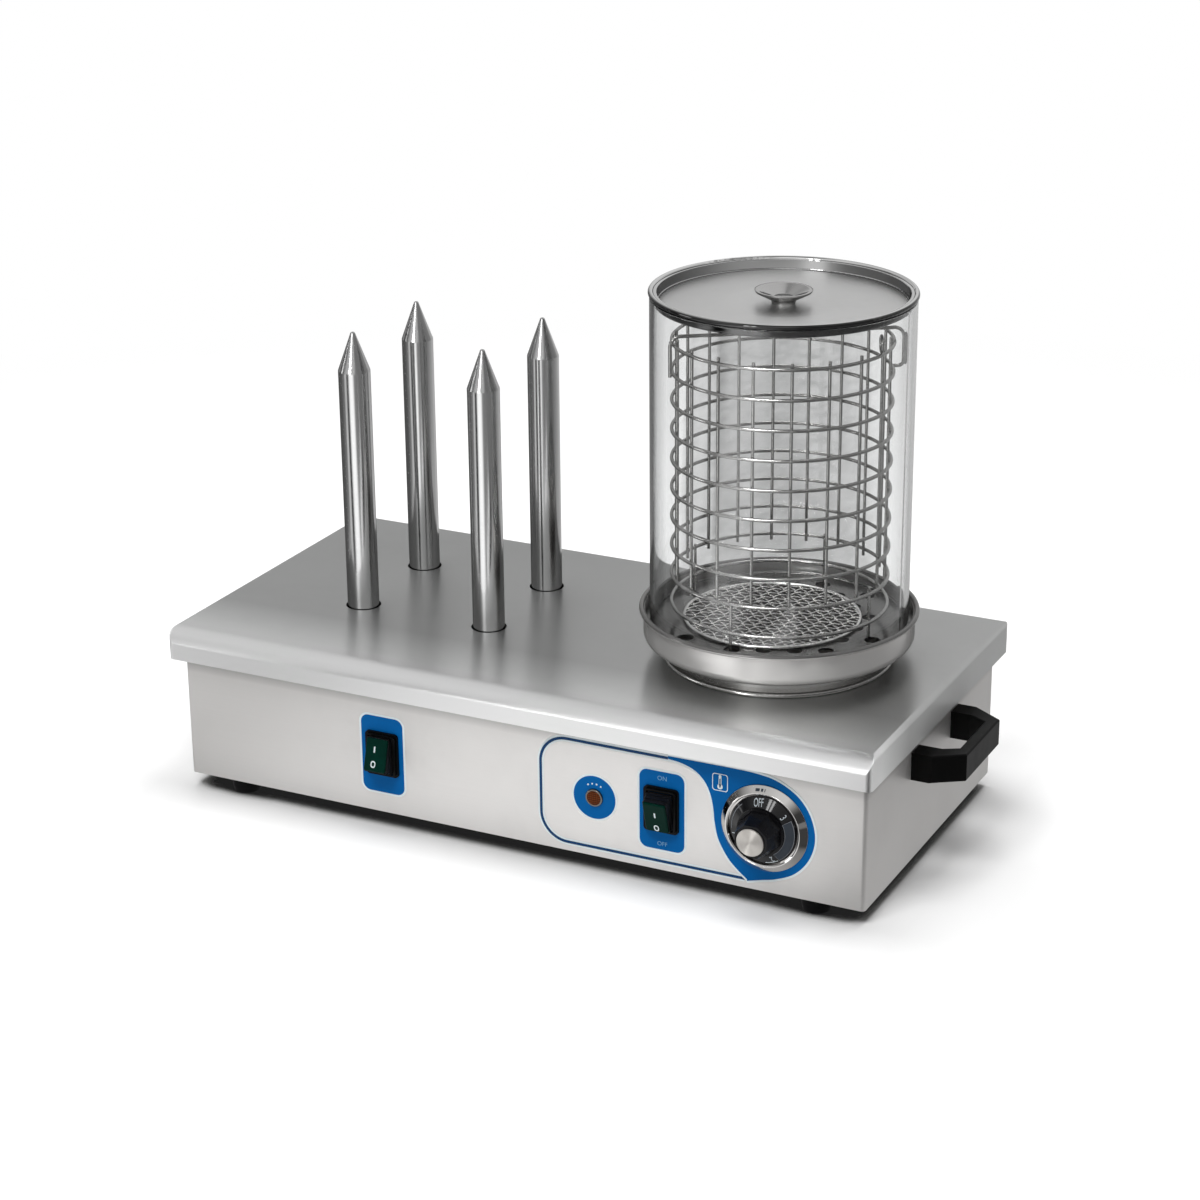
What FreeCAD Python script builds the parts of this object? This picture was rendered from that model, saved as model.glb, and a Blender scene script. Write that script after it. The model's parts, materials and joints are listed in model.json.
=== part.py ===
"""Hot dog spike machine: a low sheet-steel base with four heated bun spikes on the left and, on the
right, a glass steamer that stands in a pan over a water boiler. Millimetres, +Z up, +X to the right
of the user, -Y towards the user. The origin is on the table, under the centre of the whole machine.
"""
import FreeCAD
import Part
import math
import os

V = FreeCAD.Vector
UP = V(0, 0, 1)
FRONT = V(0, -1, 0)
BACK = V(0, 1, 0)
RIGHT = V(1, 0, 0)

# Sheet-metal case
casing_width = 528.0
casing_depth = 248.0
sheet = 1.2
casing_bend = 3.0
casing_flange = 18.0
foot_height = 11.0
foot_radius = 10.5
foot_inset_x = 39.0
foot_inset_y = 13.0
base_play = 0.4
machine_top_height = 126.5
cover_skirt_height = 23.3
cover_front_overhang = 11.0
cover_rear_overhang = 11.5
cover_side_overhang = 6.5
cover_front_bend = 11.5
cover_edge_bend = 3.5
cover_corner_bend = 4.0

# Fasteners: shank radii, and the play round a shank in its hole
small_shank = 1.5
shank = 2.0
foot_shank = 2.5
shank_play = 0.25
head_ratio = 1.9
head_ratio_height = 1.2

# Bun spikes
spike_radius = 11.5
spike_wall = 1.8
spike_height = 206.0
spike_shoulder_height = 178.0
spike_tip_radius = 1.4
spike_hole_play = 1.25
spike_front_y = -33.5
spike_rear_y = 56.5
spike_inset_x = 96.5
spike_spacing_x = 104.0
bracket_drop = 28.0
bracket_sheet = 2.0
bracket_margin = 24.0
bracket_flange = 14.0
cartridge_play = 0.5
cartridge_length = 150.0
neck_radius = 6.0
neck_length = 16.0
neck_play = 0.2
spike_nut_width = 19.0
spike_nut_height = 6.0
lead_length = 8.0

# Boiler, under the steamer
steamer_inset_x = 119.0
steamer_y = 6.5
boiler_sheet = 1.0
boiler_radius = 73.0
boiler_depth = 64.0
boiler_corner = 10.0
boiler_rim_height = 13.0
boiler_neck_reach = 3.0
boiler_foot_reach = 8.5
boiler_foot_bead = 2.0
boiler_hole_play = 1.0
clip_width = 16.0
clip_leg = 14.0
clip_sheet = 1.5
clip_count = 3
heater_ring_radius = 48.0
heater_tube_radius = 4.25
heater_gap_angle = 50.0
heater_leg = 12.0
clamp_radius = 57.0
clamp_sheet = 1.5
clamp_stud_radius = 3.0
clamp_nut_width = 10.0
clamp_nut_height = 5.0
cutout_radius = 8.0
cutout_height = 7.0
cutout_offset = 26.0
bulb_radius = 3.0
bulb_length = 70.0
capillary_radius = 1.0
capillary_bend = 4.0
capillary_drop = 14.0
capillary_lane = 10.0

# Steam pan and its perforated floor
pan_sheet = 1.0
pan_radius = 94.5
pan_corner = 6.0
pan_rim_radius = 97.5
pan_rim_bead = 1.9
pan_height = 24.5
spigot_play = 0.6
spigot_depth = 6.0
ledge_radius = 84.5
floor_height = 15.5
floor_play = 0.8
steam_hole_radius = 5.5
steam_hole_pitch = 21.0
steam_hole_margin = 5.5
steam_hole_turn = 23.0
mesh_radius = 62.5
mesh_shift_x = -4.3
mesh_shift_y = -2.0
mesh_wire = 1.5
mesh_border = 2.4
mesh_pitch = 7.5

# Glass and lid
rest_gap = 0.3
glass_radius = 90.0
glass_wall = 3.0
glass_height = 230.0
glass_edge = 0.8
lid_sheet = 1.0
lid_bead_radius = 1.85
lid_rim_radius = 90.9
lid_plug_radius = 86.0
lid_plug_depth = 6.0
lid_corner = 2.0
lid_centre_radius = 39.0
lid_centre_drop = 1.0
knob_flange_radius = 19.5
knob_neck_radius = 8.0
knob_height = 9.4
knob_wall = 1.2

# Sausage basket
ring_radius = 74.8
ring_wire = 1.25
ring_count = 10
ring_pitch = 20.75
first_ring_height = 13.9
upright_wire = 1.1
upright_count = 18
upright_first_angle = -62.2
upright_reach = 3.5
weld_gap = 0.05
leg_holes = ((-2, -3), (3, -2), (1, 3), (-3, 2))
bail_wire = 1.25
bail_angle = 218.0
bail_free_angle = 30.0
bail_free_radius = 83.0
bail_foot_ring = 8
bail_height = 28.0
bail_bend = 7.0
bail_hook_bend = 3.5
eye_wire = 1.0
eye_radius = 5.5
eye_angle = -8.0
eye_turn = 35.0

# Front panel: heights over the table
left_switch_inset_x = 163.0
right_switch_from_dial = 75.8
switch_z = 56.5
switch_cut_width = 22.0
switch_cut_height = 30.0
switch_cut_play = 0.15
collar_width = 26.0
collar_height = 33.0
collar_step = 2.0
collar_inset = 1.2
switch_wall = 0.85
switch_body_depth = 24.0
rocker_pivot_out = 2.0
rocker_tilt = 16.0
rocker_width = 19.4
rocker_height = 26.4
rocker_tier_inset = 0.4
rocker_back = 2.0
rocker_front = 7.5
rocker_lens = 1.6
rocker_lens_inset = 0.5
trunnion_radius = 1.2
trunnion_length = 0.9
trunnion_play = 0.06
lamp_from_dial = 126.5
lamp_z = 55.3
lamp_radius = 6.5
lamp_lens_radius = 5.3
lamp_stand = 1.6
lamp_depth = 22.0
lamp_hole_play = 0.2

# Thermostat and its dial
dial_inset_x = 72.0
dial_z = 58.0
bezel_radius = 31.5
bezel_bore_radius = 25.5
bezel_height = 5.0
bezel_edge = 1.2
bezel_floor = 0.8
dial_play = 1.0
dial_edge = 2.2
dial_rise = 3.6
dial_lift = 0.5
grip_base_radius = 16.3
grip_top_radius = 12.4
grip_length = 17.0
grip_sides = 8
grip_collar = 1.6
cap_radius = 9.75
cap_height = 1.4
cap_dome = 0.6
shaft_radius = 3.0
shaft_play = 0.05
shaft_depth = 10.0
shaft_grip = 12.0
shaft_flat = 0.8
thermostat_width = 36.0
thermostat_height = 42.0
thermostat_depth = 26.0
thermostat_screw_span = 28.0
bushing_radius = 5.0
bushing_play = 0.5

# Push-on terminal blades
blade_thickness = 0.8
blade_width = 6.3
blade_length = 9.0

# Side handles
handle_y = 3.5
handle_z = 83.3
handle_height = 20.0
handle_length = 93.0
handle_reach = 35.0
handle_straight = 15.0
handle_slant = 13.2
handle_arm = 15.25
handle_bar = 8.5
handle_inner_slant = 7.0
handle_edge = 1.5
handle_screw_depth = 12.0

# Rear wall and inside
inlet_inset_x = 64.0
inlet_z = 52.0
inlet_width = 27.0
inlet_height = 20.0
inlet_flange_width = 50.0
inlet_flange = 2.5
inlet_depth = 22.0
inlet_socket_depth = 16.0
inlet_wall = 1.6
inlet_pin_length = 11.0
inlet_key_slant = 4.0
inlet_pin_spacing = 7.0
inlet_screw_span = 40.0
louvre_count = 9
louvre_pitch = 14.0
louvre_width = 4.0
louvre_height = 36.0
base_slot_count = 7
base_slot_pitch = 12.0
base_slot_width = 4.0
base_slot_length = 60.0
terminal_x = 60.0
terminal_y = 70.0
terminal_ways = 5
terminal_pitch = 11.0
terminal_depth = 20.0
terminal_height = 16.0
earth_x = 20.0
earth_y = 78.0
earth_stud_length = 14.0

# Worked out from the sizes above
casing_floor = foot_height
casing_top = machine_top_height - sheet
panel_y = -casing_depth / 2
rear_y = casing_depth / 2
side_x = casing_width / 2
spike_left_x = spike_inset_x - side_x
spike_right_x = spike_left_x + spike_spacing_x
steamer_x = side_x - steamer_inset_x
dial_x = side_x - dial_inset_x
lamp_x = dial_x - lamp_from_dial
left_switch_x = left_switch_inset_x - side_x
right_switch_x = dial_x - right_switch_from_dial
inlet_x = side_x - inlet_inset_x
pan_z = machine_top_height + boiler_rim_height
floor_z = pan_z + floor_height
glass_z = floor_z + rest_gap
glass_top = glass_z + glass_height
lid_z = glass_top + rest_gap
first_ring_z = floor_z + first_ring_height
steamer_centre = V(steamer_x, steamer_y, 0)
boiler_neck_radius = boiler_radius + boiler_neck_reach
boiler_foot_radius = boiler_radius + boiler_foot_reach
mesh_centre = steamer_centre + V(mesh_shift_x, mesh_shift_y, 0)
bracket_z = casing_top - bracket_drop
boiler_floor_z = machine_top_height - boiler_depth
clamp_z = boiler_floor_z - 2 * heater_tube_radius
dial_front = bezel_floor + dial_lift + dial_edge + dial_rise + grip_length + cap_height + cap_dome
front_reach = casing_depth / 2 + dial_front
rear_reach = casing_depth / 2 + cover_rear_overhang
to_origin = V(0, (front_reach - rear_reach) / 2, 0)


def outline(corners, place):
    """Closed wire through (u, v) or (u, v, radius) corners; place turns u, v into a point."""
    count = len(corners)
    entries = []
    for index, corner in enumerate(corners):
        here = V(corner[0], corner[1], 0)
        radius = corner[2] if len(corner) > 2 else 0
        before = V(*corners[index - 1][:2], 0) - here
        after = V(*corners[(index + 1) % count][:2], 0) - here
        if not radius:
            entries.append((here, None, here))
            continue
        half = before.getAngle(after) / 2
        reach = radius / math.tan(half)
        middle = (before.normalize() + after.normalize()).normalize()
        top = here + middle * (radius / math.sin(half) - radius)
        entries.append((here + before * reach, top, here + after * reach))
    edges = []
    for index, (start, top, end) in enumerate(entries):
        following = entries[(index + 1) % count][0]
        if top is not None:
            edges.append(Part.Arc(*(place(p.x, p.y) for p in (start, top, end))).toShape())
        if (end - following).Length > 1e-6:
            edges.append(Part.LineSegment(place(end.x, end.y), place(following.x, following.y)).toShape())
    return Part.Wire(edges)


def turned(corners, centre=V(0, 0, 0), axis=UP):
    """Solid of revolution; corners are (radius, distance along the axis)."""
    side = RIGHT if abs(axis.z) > 0.5 else UP
    wire = outline(corners, lambda r, h: centre + side * r + axis * h)
    return Part.Face(wire).revolve(centre, axis, 360)


def prism(corners, place, along):
    """Solid pushed along a vector from the outline that place lays out."""
    return Part.Face(outline(corners, place)).extrude(along)


def rectangle(width, height, radius=0.0):
    """Four corners of a centred rectangle, all with the same radius."""
    return [(u * width / 2, v * height / 2, radius) for u, v in ((-1, -1), (1, -1), (1, 1), (-1, 1))]


def on_front(x, z, out=0.0):
    """Layout on the front wall: u to the right, v up, out towards the user."""
    return lambda u, v: V(x + u, panel_y - out, z + v)


def on_rear(x, y):
    """Layout on an upright plane at the back, at the inlet's height."""
    return lambda u, v: V(x + u, y, inlet_z + v)


def flat(x, y, z):
    """Layout on a level plane."""
    return lambda u, v: V(x + u, y + v, z)


def block(width, depth, height, x, y, z, radius=0.0):
    """Upright block centred on x, y with its underside at z; radius rounds the upright edges."""
    return prism(rectangle(width, depth, radius), flat(x, y, z), V(0, 0, height))


def rod(radius, start, along):
    """Round bar from start."""
    return Part.makeCylinder(radius, along.Length, start, along)


def ring(outer, inner, height, start, axis=UP):
    """Flat washer or tube that begins at start."""
    return rod(outer, start, axis * height).cut(rod(inner, start, axis * height))


def hexagon(width, height, start, axis):
    """Hexagonal prism with the given width across its flats."""
    radius = width / math.sqrt(3)
    side = UP if abs(axis.z) < 0.5 else RIGHT
    other = axis.cross(side)
    corners = [start + (side * math.cos(a) + other * math.sin(a)) * radius
               for a in (math.radians(60 * k) for k in range(6))]
    return Part.Face(Part.makePolygon(corners + corners[:1])).extrude(axis * height)


def nut(width, height, bore, start, axis):
    """Hexagonal nut, bored through."""
    return hexagon(width, height, start, axis).cut(rod(bore, start, axis * height))


def screw(radius, length, seat, axis):
    """Pan-head screw: the head's underside is at seat and the shank runs along axis."""
    head = radius * head_ratio
    high = radius * head_ratio_height
    profile = [(0, -high), (head * 0.7, -high), (head, -high * 0.5), (head, 0), (radius, 0),
               (radius, length), (0, length)]
    return turned(profile, seat, axis)


def blade(root, axis):
    """Push-on terminal blade that stands out from root along an axis."""
    other = BACK if abs(axis.z) > 0.5 else UP
    corner = root - RIGHT * blade_thickness / 2 - other * blade_width / 2
    size = RIGHT * blade_thickness + other * blade_width
    face = Part.makePolygon([corner, corner + RIGHT * blade_thickness, corner + size,
                             corner + other * blade_width, corner])
    return Part.Face(face).extrude(axis * blade_length)


def polar(radius, degrees, z=0.0, centre=steamer_centre):
    """Point round the steamer's axis."""
    angle = math.radians(degrees)
    return centre + V(radius * math.cos(angle), radius * math.sin(angle), z)


def bent_wire(points, radius, bends):
    """Round wire along straight runs joined by tangent arcs, with one bend radius for each corner."""
    edges = []
    start = points[0]
    for here, after, bend in zip(points[1:-1], points[2:], bends):
        back = (start - here).normalize()
        onward = (after - here).normalize()
        half = back.getAngle(onward) / 2
        reach = bend / math.tan(half)
        middle = (back + onward).normalize()
        enter = here + back * reach
        leave = here + onward * reach
        edges.append(Part.LineSegment(start, enter).toShape())
        edges.append(Part.Arc(enter, here + middle * (bend / math.sin(half) - bend), leave).toShape())
        start = leave
    edges.append(Part.LineSegment(start, points[-1]).toShape())
    path = Part.Wire(edges)
    section = Part.Wire([Part.makeCircle(radius, points[0], points[1] - points[0])])
    return path.makePipeShell([section], True, False)


def four_points(x, y, z):
    """Points at the four corners of a centred rectangle."""
    return [V(side * x, end * y, z) for side in (-1, 1) for end in (-1, 1)]


# Where things stand
foot_points = {
    "front_left": V(-side_x + foot_inset_x, panel_y + foot_inset_y, 0),
    "front_right": V(side_x - foot_inset_x, panel_y + foot_inset_y, 0),
    "rear_left": V(-side_x + foot_inset_x, rear_y - foot_inset_y, 0),
    "rear_right": V(side_x - foot_inset_x, rear_y - foot_inset_y, 0),
}
spike_points = {
    "front_left": V(spike_left_x, spike_front_y, 0),
    "front_right": V(spike_right_x, spike_front_y, 0),
    "rear_left": V(spike_left_x, spike_rear_y, 0),
    "rear_right": V(spike_right_x, spike_rear_y, 0),
}
flange_x = side_x - sheet - casing_flange / 2
flange_y = rear_y - sheet - casing_flange / 2
base_screw_points = four_points(flange_x, flange_y / 2, casing_floor)
base_screw_points += four_points(flange_x / 3, flange_y, casing_floor)
cover_stud_points = four_points(flange_x, flange_y / 2, casing_top)
handle_screw_offset = (handle_length - handle_arm) / 2
inlet_screw_points = [V(inlet_x + k * inlet_screw_span / 2, rear_y, inlet_z) for k in (-1, 1)]
thermostat_screw_points = [V(dial_x + k * thermostat_screw_span / 2, panel_y, dial_z) for k in (-1, 1)]
foot_screw_seat = casing_floor + 2 * sheet


def casing_shell():
    """Four folded walls with an inward flange all round at the top and the bottom."""
    high = casing_top - casing_floor
    inner_bend = casing_bend - sheet
    shell = block(casing_width, casing_depth, high, 0, 0, casing_floor, casing_bend)
    inner = (casing_width - 2 * sheet, casing_depth - 2 * sheet)
    mouth = (inner[0] - 2 * casing_flange, inner[1] - 2 * casing_flange)
    shell = shell.cut(block(*inner, sheet, 0, 0, casing_floor, inner_bend))
    shell = shell.cut(block(*inner, high - 3 * sheet, 0, 0, casing_floor + 2 * sheet, inner_bend))
    shell = shell.cut(block(*mouth, high, 0, 0, casing_floor))
    through = V(0, 2 * sheet, 0)
    for x in (left_switch_x, right_switch_x):
        place = on_front(x, switch_z, sheet / 2)
        shell = shell.cut(prism(rectangle(switch_cut_width, switch_cut_height), place, through))
    shell = shell.cut(rod(lamp_lens_radius + lamp_hole_play, V(lamp_x, panel_y - sheet / 2, lamp_z), through))
    shell = shell.cut(rod(bushing_radius + bushing_play, V(dial_x, panel_y - sheet / 2, dial_z), through))
    for point in thermostat_screw_points:
        shell = shell.cut(rod(shank + shank_play, point - BACK * sheet / 2, through))
    rear = rear_y - sheet * 1.5
    shell = shell.cut(prism(rectangle(inlet_width, inlet_height, 2), on_rear(inlet_x, rear), through))
    for point in inlet_screw_points:
        shell = shell.cut(rod(small_shank + shank_play, point - BACK * sheet * 1.5, through))
    for index in range(louvre_count):
        x = -side_x / 2 + (index - (louvre_count - 1) / 2) * louvre_pitch
        slot = prism(rectangle(louvre_width, louvre_height, louvre_width * 0.45), on_rear(x, rear), through)
        shell = shell.cut(slot)
    for side in (-1, 1):
        for end in (-1, 1):
            at = V(side * (side_x - 1.5 * sheet), handle_y + end * handle_screw_offset, handle_z)
            shell = shell.cut(rod(foot_shank + shank_play, at, V(side * 2 * sheet, 0, 0)))
    for point in base_screw_points:
        shell = shell.cut(rod(small_shank + shank_play, point, V(0, 0, 3 * sheet)))
    for point in foot_points.values():
        shell = shell.cut(rod(foot_shank + shank_play, point + UP * casing_floor, V(0, 0, 3 * sheet)))
    for point in cover_stud_points:
        shell = shell.cut(rod(shank + shank_play, point - UP * 2 * sheet, V(0, 0, 3 * sheet)))
    return shell


def base_plate():
    """Flat closing plate in the recess under the casing's lower flange, with slots for air."""
    plate = block(casing_width - 2 * (sheet + base_play), casing_depth - 2 * (sheet + base_play), sheet,
                  0, 0, casing_floor, casing_bend - sheet)
    through = V(0, 0, 2 * sheet)
    under = UP * (casing_floor - sheet / 2)
    for point in foot_points.values():
        plate = plate.cut(rod(foot_shank + shank_play, point + under, through))
    for point in base_screw_points:
        plate = plate.cut(rod(small_shank + shank_play, point - UP * sheet / 2, through))
    for index in range(base_slot_count):
        x = steamer_x + (index - (base_slot_count - 1) / 2) * base_slot_pitch
        slot = block(base_slot_width, base_slot_length, 2 * sheet, x, steamer_y, casing_floor - sheet / 2,
                     base_slot_width * 0.45)
        plate = plate.cut(slot)
    return plate


def rounded_lid(width, front, rear, low, high, front_bend, edge_bend, corner_bend):
    """Block with a big bend along its front top edge and small bends along the others."""
    depth = front + rear
    solid = block(width, depth, high - low, 0, (rear - front) / 2, low, corner_bend)
    wide = width + 2
    back = rear + 1
    rise = high + 1
    front_round = prism([(-front - 1, low - 1), (-front, low - 1), (-front, high, front_bend), (back, high),
                         (back, rise), (-front - 1, rise)], lambda y, z: V(-wide / 2, y, z), V(wide, 0, 0))
    solid = solid.cut(front_round)
    half = width / 2
    keep = prism([(-half, low - 1), (half, low - 1), (half, high, edge_bend), (-half, high, edge_bend)],
                 lambda x, z: V(x, -front - 1, z), V(0, depth + 2, 0))
    solid = solid.common(keep)
    keep_back = prism([(-front - 1, low - 1), (rear, low - 1), (rear, high, edge_bend), (-front - 1, high)],
                      lambda y, z: V(-wide / 2, y, z), V(wide, 0, 0))
    return solid.common(keep_back)


def top_cover():
    """Folded work top with a deep skirt; studs are welded under it for the casing's top flange."""
    width = casing_width + 2 * cover_side_overhang
    front = casing_depth / 2 + cover_front_overhang
    low = machine_top_height - cover_skirt_height
    outer = rounded_lid(width, front, rear_reach, low, machine_top_height, cover_front_bend, cover_edge_bend,
                        cover_corner_bend)
    inner = rounded_lid(width - 2 * sheet, front - sheet, rear_reach - sheet, low - 1, casing_top,
                        cover_front_bend - sheet, cover_edge_bend - sheet, cover_corner_bend - sheet)
    cover = outer.cut(inner)
    for point in spike_points.values():
        cover = cover.cut(rod(spike_radius + spike_hole_play, point + UP * low, UP * cover_skirt_height * 2))
    boiler_hole = rod(boiler_radius + boiler_hole_play, steamer_centre + UP * low, UP * cover_skirt_height * 2)
    cover = cover.cut(boiler_hole)
    for point in cover_stud_points:
        cover = cover.fuse(rod(shank, point + UP * sheet / 2, UP * -12))
    return cover


def foot(point):
    """Round rubber foot with a blind hole for its screw."""
    screw_end = foot_height * 0.35
    profile = [(0, 0), (foot_radius - 0.8, 0, 0.8), (foot_radius, foot_height * 0.4, 3),
               (foot_radius, foot_height), (foot_shank, foot_height), (foot_shank, screw_end), (0, screw_end)]
    return turned(profile, point)


def foot_screws():
    """One screw down through the casing's lower flange and the base plate into each foot."""
    length = foot_height * 0.65 + 2 * sheet
    return Part.makeCompound([screw(foot_shank, length, point + UP * foot_screw_seat, -UP)
                              for point in foot_points.values()])


def base_screws():
    """Screws up through the base plate into the casing's lower flange."""
    return Part.makeCompound([screw(small_shank, 3 * sheet, point, UP) for point in base_screw_points])


def cover_nuts():
    """Nuts that pull the cover's studs down on the casing's top flange."""
    return Part.makeCompound([nut(7, 3.2, shank, point - UP * sheet, -UP) for point in cover_stud_points])


def side_handle(side):
    """Faceted moulded bow handle, its arms hollow for the screws."""
    half = handle_length / 2
    gap = half - handle_arm
    reach = handle_reach - handle_bar
    corners = [(-half, 0), (-half, handle_straight), (-half + handle_slant, handle_reach),
               (half - handle_slant, handle_reach), (half, handle_straight), (half, 0), (gap, 0),
               (gap, handle_straight - 1), (gap - handle_inner_slant, reach),
               (-gap + handle_inner_slant, reach), (-gap, handle_straight - 1), (-gap, 0)]
    low = handle_z - handle_height / 2
    handle = prism(corners, lambda y, h: V(side * (side_x + h), handle_y + y, low), UP * handle_height)
    rim = [edge for edge in handle.Edges
           if abs(edge.tangentAt(edge.FirstParameter).z) < 0.1
           and min(abs(v.X) for v in edge.Vertexes) + handle_reach > side_x + handle_reach + 0.1]
    handle = handle.makeFillet(handle_edge, rim)
    for end in (-1, 1):
        at = V(side * side_x, handle_y + end * handle_screw_offset, handle_z)
        handle = handle.cut(rod(foot_shank, at, RIGHT * side * handle_screw_depth))
    return handle


def handle_screws():
    """Two screws from inside the case into each handle."""
    group = []
    for side in (-1, 1):
        for end in (-1, 1):
            seat = V(side * (side_x - sheet), handle_y + end * handle_screw_offset, handle_z)
            group.append(screw(foot_shank, sheet + handle_screw_depth, seat, RIGHT * side))
    return Part.makeCompound(group)


def spike(point):
    """Drawn tube with a closed conical tip and a small rounded point."""
    top = machine_top_height + spike_height
    shoulder = machine_top_height + spike_shoulder_height
    bore = spike_radius - spike_wall
    profile = [(0, top), (spike_tip_radius, top, spike_tip_radius * 0.7), (spike_radius, shoulder),
               (spike_radius, bracket_z), (bore, bracket_z), (bore, shoulder - spike_wall),
               (spike_wall, top - (top - shoulder) * 0.3), (0, top - (top - shoulder) * 0.3)]
    return turned(profile, point)


def spike_bracket():
    """Channel hung under the cover: a plate that the spikes stand on, two sides and two flanges."""
    left = spike_left_x - bracket_margin
    right = spike_right_x + bracket_margin
    front = spike_front_y - bracket_margin
    long = spike_rear_y + bracket_margin - front
    t = bracket_sheet
    low = bracket_z - t
    top = casing_top
    corners = [(left - bracket_flange, top), (left, top), (left, bracket_z), (right, bracket_z), (right, top),
               (right + bracket_flange, top), (right + bracket_flange, top - t), (right + t, top - t),
               (right + t, low, t), (left - t, low, t), (left - t, top - t), (left - bracket_flange, top - t)]
    bracket = prism(corners, lambda x, z: V(x, front, z), V(0, long, 0))
    for point in spike_points.values():
        bracket = bracket.cut(rod(neck_radius + neck_play, point + UP * (low - 1), UP * (t + 2)))
    return bracket


def cartridge_heaters():
    """A heating cartridge up each spike, on a threaded neck that passes the bracket."""
    body = spike_radius - spike_wall - cartridge_play
    lead = 1.0
    profile = [(0, cartridge_length), (body, cartridge_length, 1.0), (body, 0), (neck_radius, 0),
               (neck_radius, -neck_length), (0, -neck_length)]
    group = []
    for point in spike_points.values():
        heater = turned(profile, point + UP * bracket_z)
        for side in (-1, 1):
            start = point + V(side * neck_radius / 2, 0, bracket_z - neck_length)
            heater = heater.fuse(rod(lead, start, -UP * lead_length))
        group.append(heater)
    return Part.makeCompound(group)


def spike_nuts():
    """Nuts under the bracket on the cartridge necks."""
    return Part.makeCompound([nut(spike_nut_width, spike_nut_height, neck_radius,
                                  point + UP * (bracket_z - bracket_sheet), -UP)
                              for point in spike_points.values()])


def boiler_bowl():
    """Deep-drawn water bowl; its lip turns out over the collar, and a stud stands under it."""
    t = boiler_sheet
    rim = machine_top_height + boiler_rim_height
    profile = [(0, boiler_floor_z), (boiler_radius, boiler_floor_z, boiler_corner), (boiler_radius, rim - t),
               (boiler_neck_radius, rim - t), (boiler_neck_radius, rim), (boiler_radius - t, rim, t),
               (boiler_radius - t, boiler_floor_z + t, boiler_corner - t), (0, boiler_floor_z + t)]
    bowl = turned(profile, steamer_centre)
    stud = rod(clamp_stud_radius, steamer_centre + UP * (boiler_floor_z + t / 2),
               -UP * (t / 2 + boiler_floor_z - clamp_z + clamp_sheet + clamp_nut_height + 2))
    return bowl.fuse(stud)


def boiler_collar():
    """Neck ring under the bowl's lip; its foot turns out to a rolled bead that lies on the cover."""
    t = boiler_sheet
    low = machine_top_height + 2 * boiler_foot_bead
    high = machine_top_height + boiler_rim_height - t
    bead_centre = boiler_foot_radius - boiler_foot_bead
    profile = [(boiler_neck_radius, high), (boiler_neck_radius, low), (bead_centre, low), (bead_centre, low - t),
               (boiler_neck_radius - t, low - t), (boiler_neck_radius - t, high)]
    collar = turned(profile, steamer_centre)
    bead = Part.makeTorus(bead_centre, boiler_foot_bead,
                          steamer_centre + UP * (machine_top_height + boiler_foot_bead), UP)
    return collar.fuse(bead)


def boiler_clips():
    """Angle clips spot-welded round the bowl; they bear on the cover from below."""
    group = []
    for index in range(clip_count):
        corners = [(boiler_radius, -clip_leg), (boiler_radius + clip_sheet, -clip_leg),
                   (boiler_radius + clip_sheet, -clip_sheet), (boiler_radius + clip_leg, -clip_sheet),
                   (boiler_radius + clip_leg, 0), (boiler_radius, 0)]
        place = (lambda r, h: steamer_centre + V(r, -clip_width / 2, casing_top + h))
        clip = prism(corners, place, V(0, clip_width, 0))
        clip = clip.cut(rod(boiler_radius, steamer_centre, UP * machine_top_height))
        clip.rotate(steamer_centre, UP, 60 + 360 / clip_count * index)
        group.append(clip)
    return Part.makeCompound(group)


def boiler_heater():
    """Tubular ring element pressed on the bowl's underside, with its two ends bent down."""
    z = boiler_floor_z - heater_tube_radius
    start = polar(heater_ring_radius, heater_gap_angle / 2, z)
    along = start.sub(steamer_centre + UP * z).cross(UP)
    section = Part.Wire([Part.makeCircle(heater_tube_radius, start, along)])
    tube = Part.Face(section).revolve(steamer_centre, UP, 360 - heater_gap_angle)
    for angle in (heater_gap_angle / 2, -heater_gap_angle / 2):
        top = polar(heater_ring_radius, angle, boiler_floor_z - heater_tube_radius)
        tube = tube.fuse(Part.makeSphere(heater_tube_radius, top))
        tube = tube.fuse(rod(heater_tube_radius, top, -UP * (heater_tube_radius + heater_leg)))
    return tube


def heater_clamp_plate():
    """Pressed disc that holds the ring element against the bowl, notched for its ends."""
    under = steamer_centre + UP * (clamp_z - clamp_sheet)
    plate = ring(clamp_radius, clamp_stud_radius + shank_play, clamp_sheet, under)
    for angle in (heater_gap_angle / 2, -heater_gap_angle / 2):
        at = polar(heater_ring_radius, angle, clamp_z - 2 * clamp_sheet)
        plate = plate.cut(rod(heater_tube_radius + 0.5, at, UP * 3 * clamp_sheet))
    at = polar(cutout_offset, 90, clamp_z - 2 * clamp_sheet)
    return plate.cut(rod(cutout_radius + 1, at, UP * 3 * clamp_sheet))


def heater_nut():
    """Nut on the bowl's stud under the clamp plate."""
    under = steamer_centre + UP * (clamp_z - clamp_sheet)
    return nut(clamp_nut_width, clamp_nut_height, clamp_stud_radius, under, -UP)


def safety_cutout():
    """Snap-disc overheat switch against the bowl, with two blade terminals."""
    top = polar(cutout_offset, 90, boiler_floor_z)
    body = rod(cutout_radius, top, -UP * cutout_height)
    step = rod(cutout_radius * 0.75, top - UP * cutout_height, -UP * cutout_height / 2)
    body = body.fuse(step)
    for side in (-1, 1):
        body = body.fuse(blade(top + V(side * 4, 0, -cutout_height * 1.5), -UP))
    return body


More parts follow.
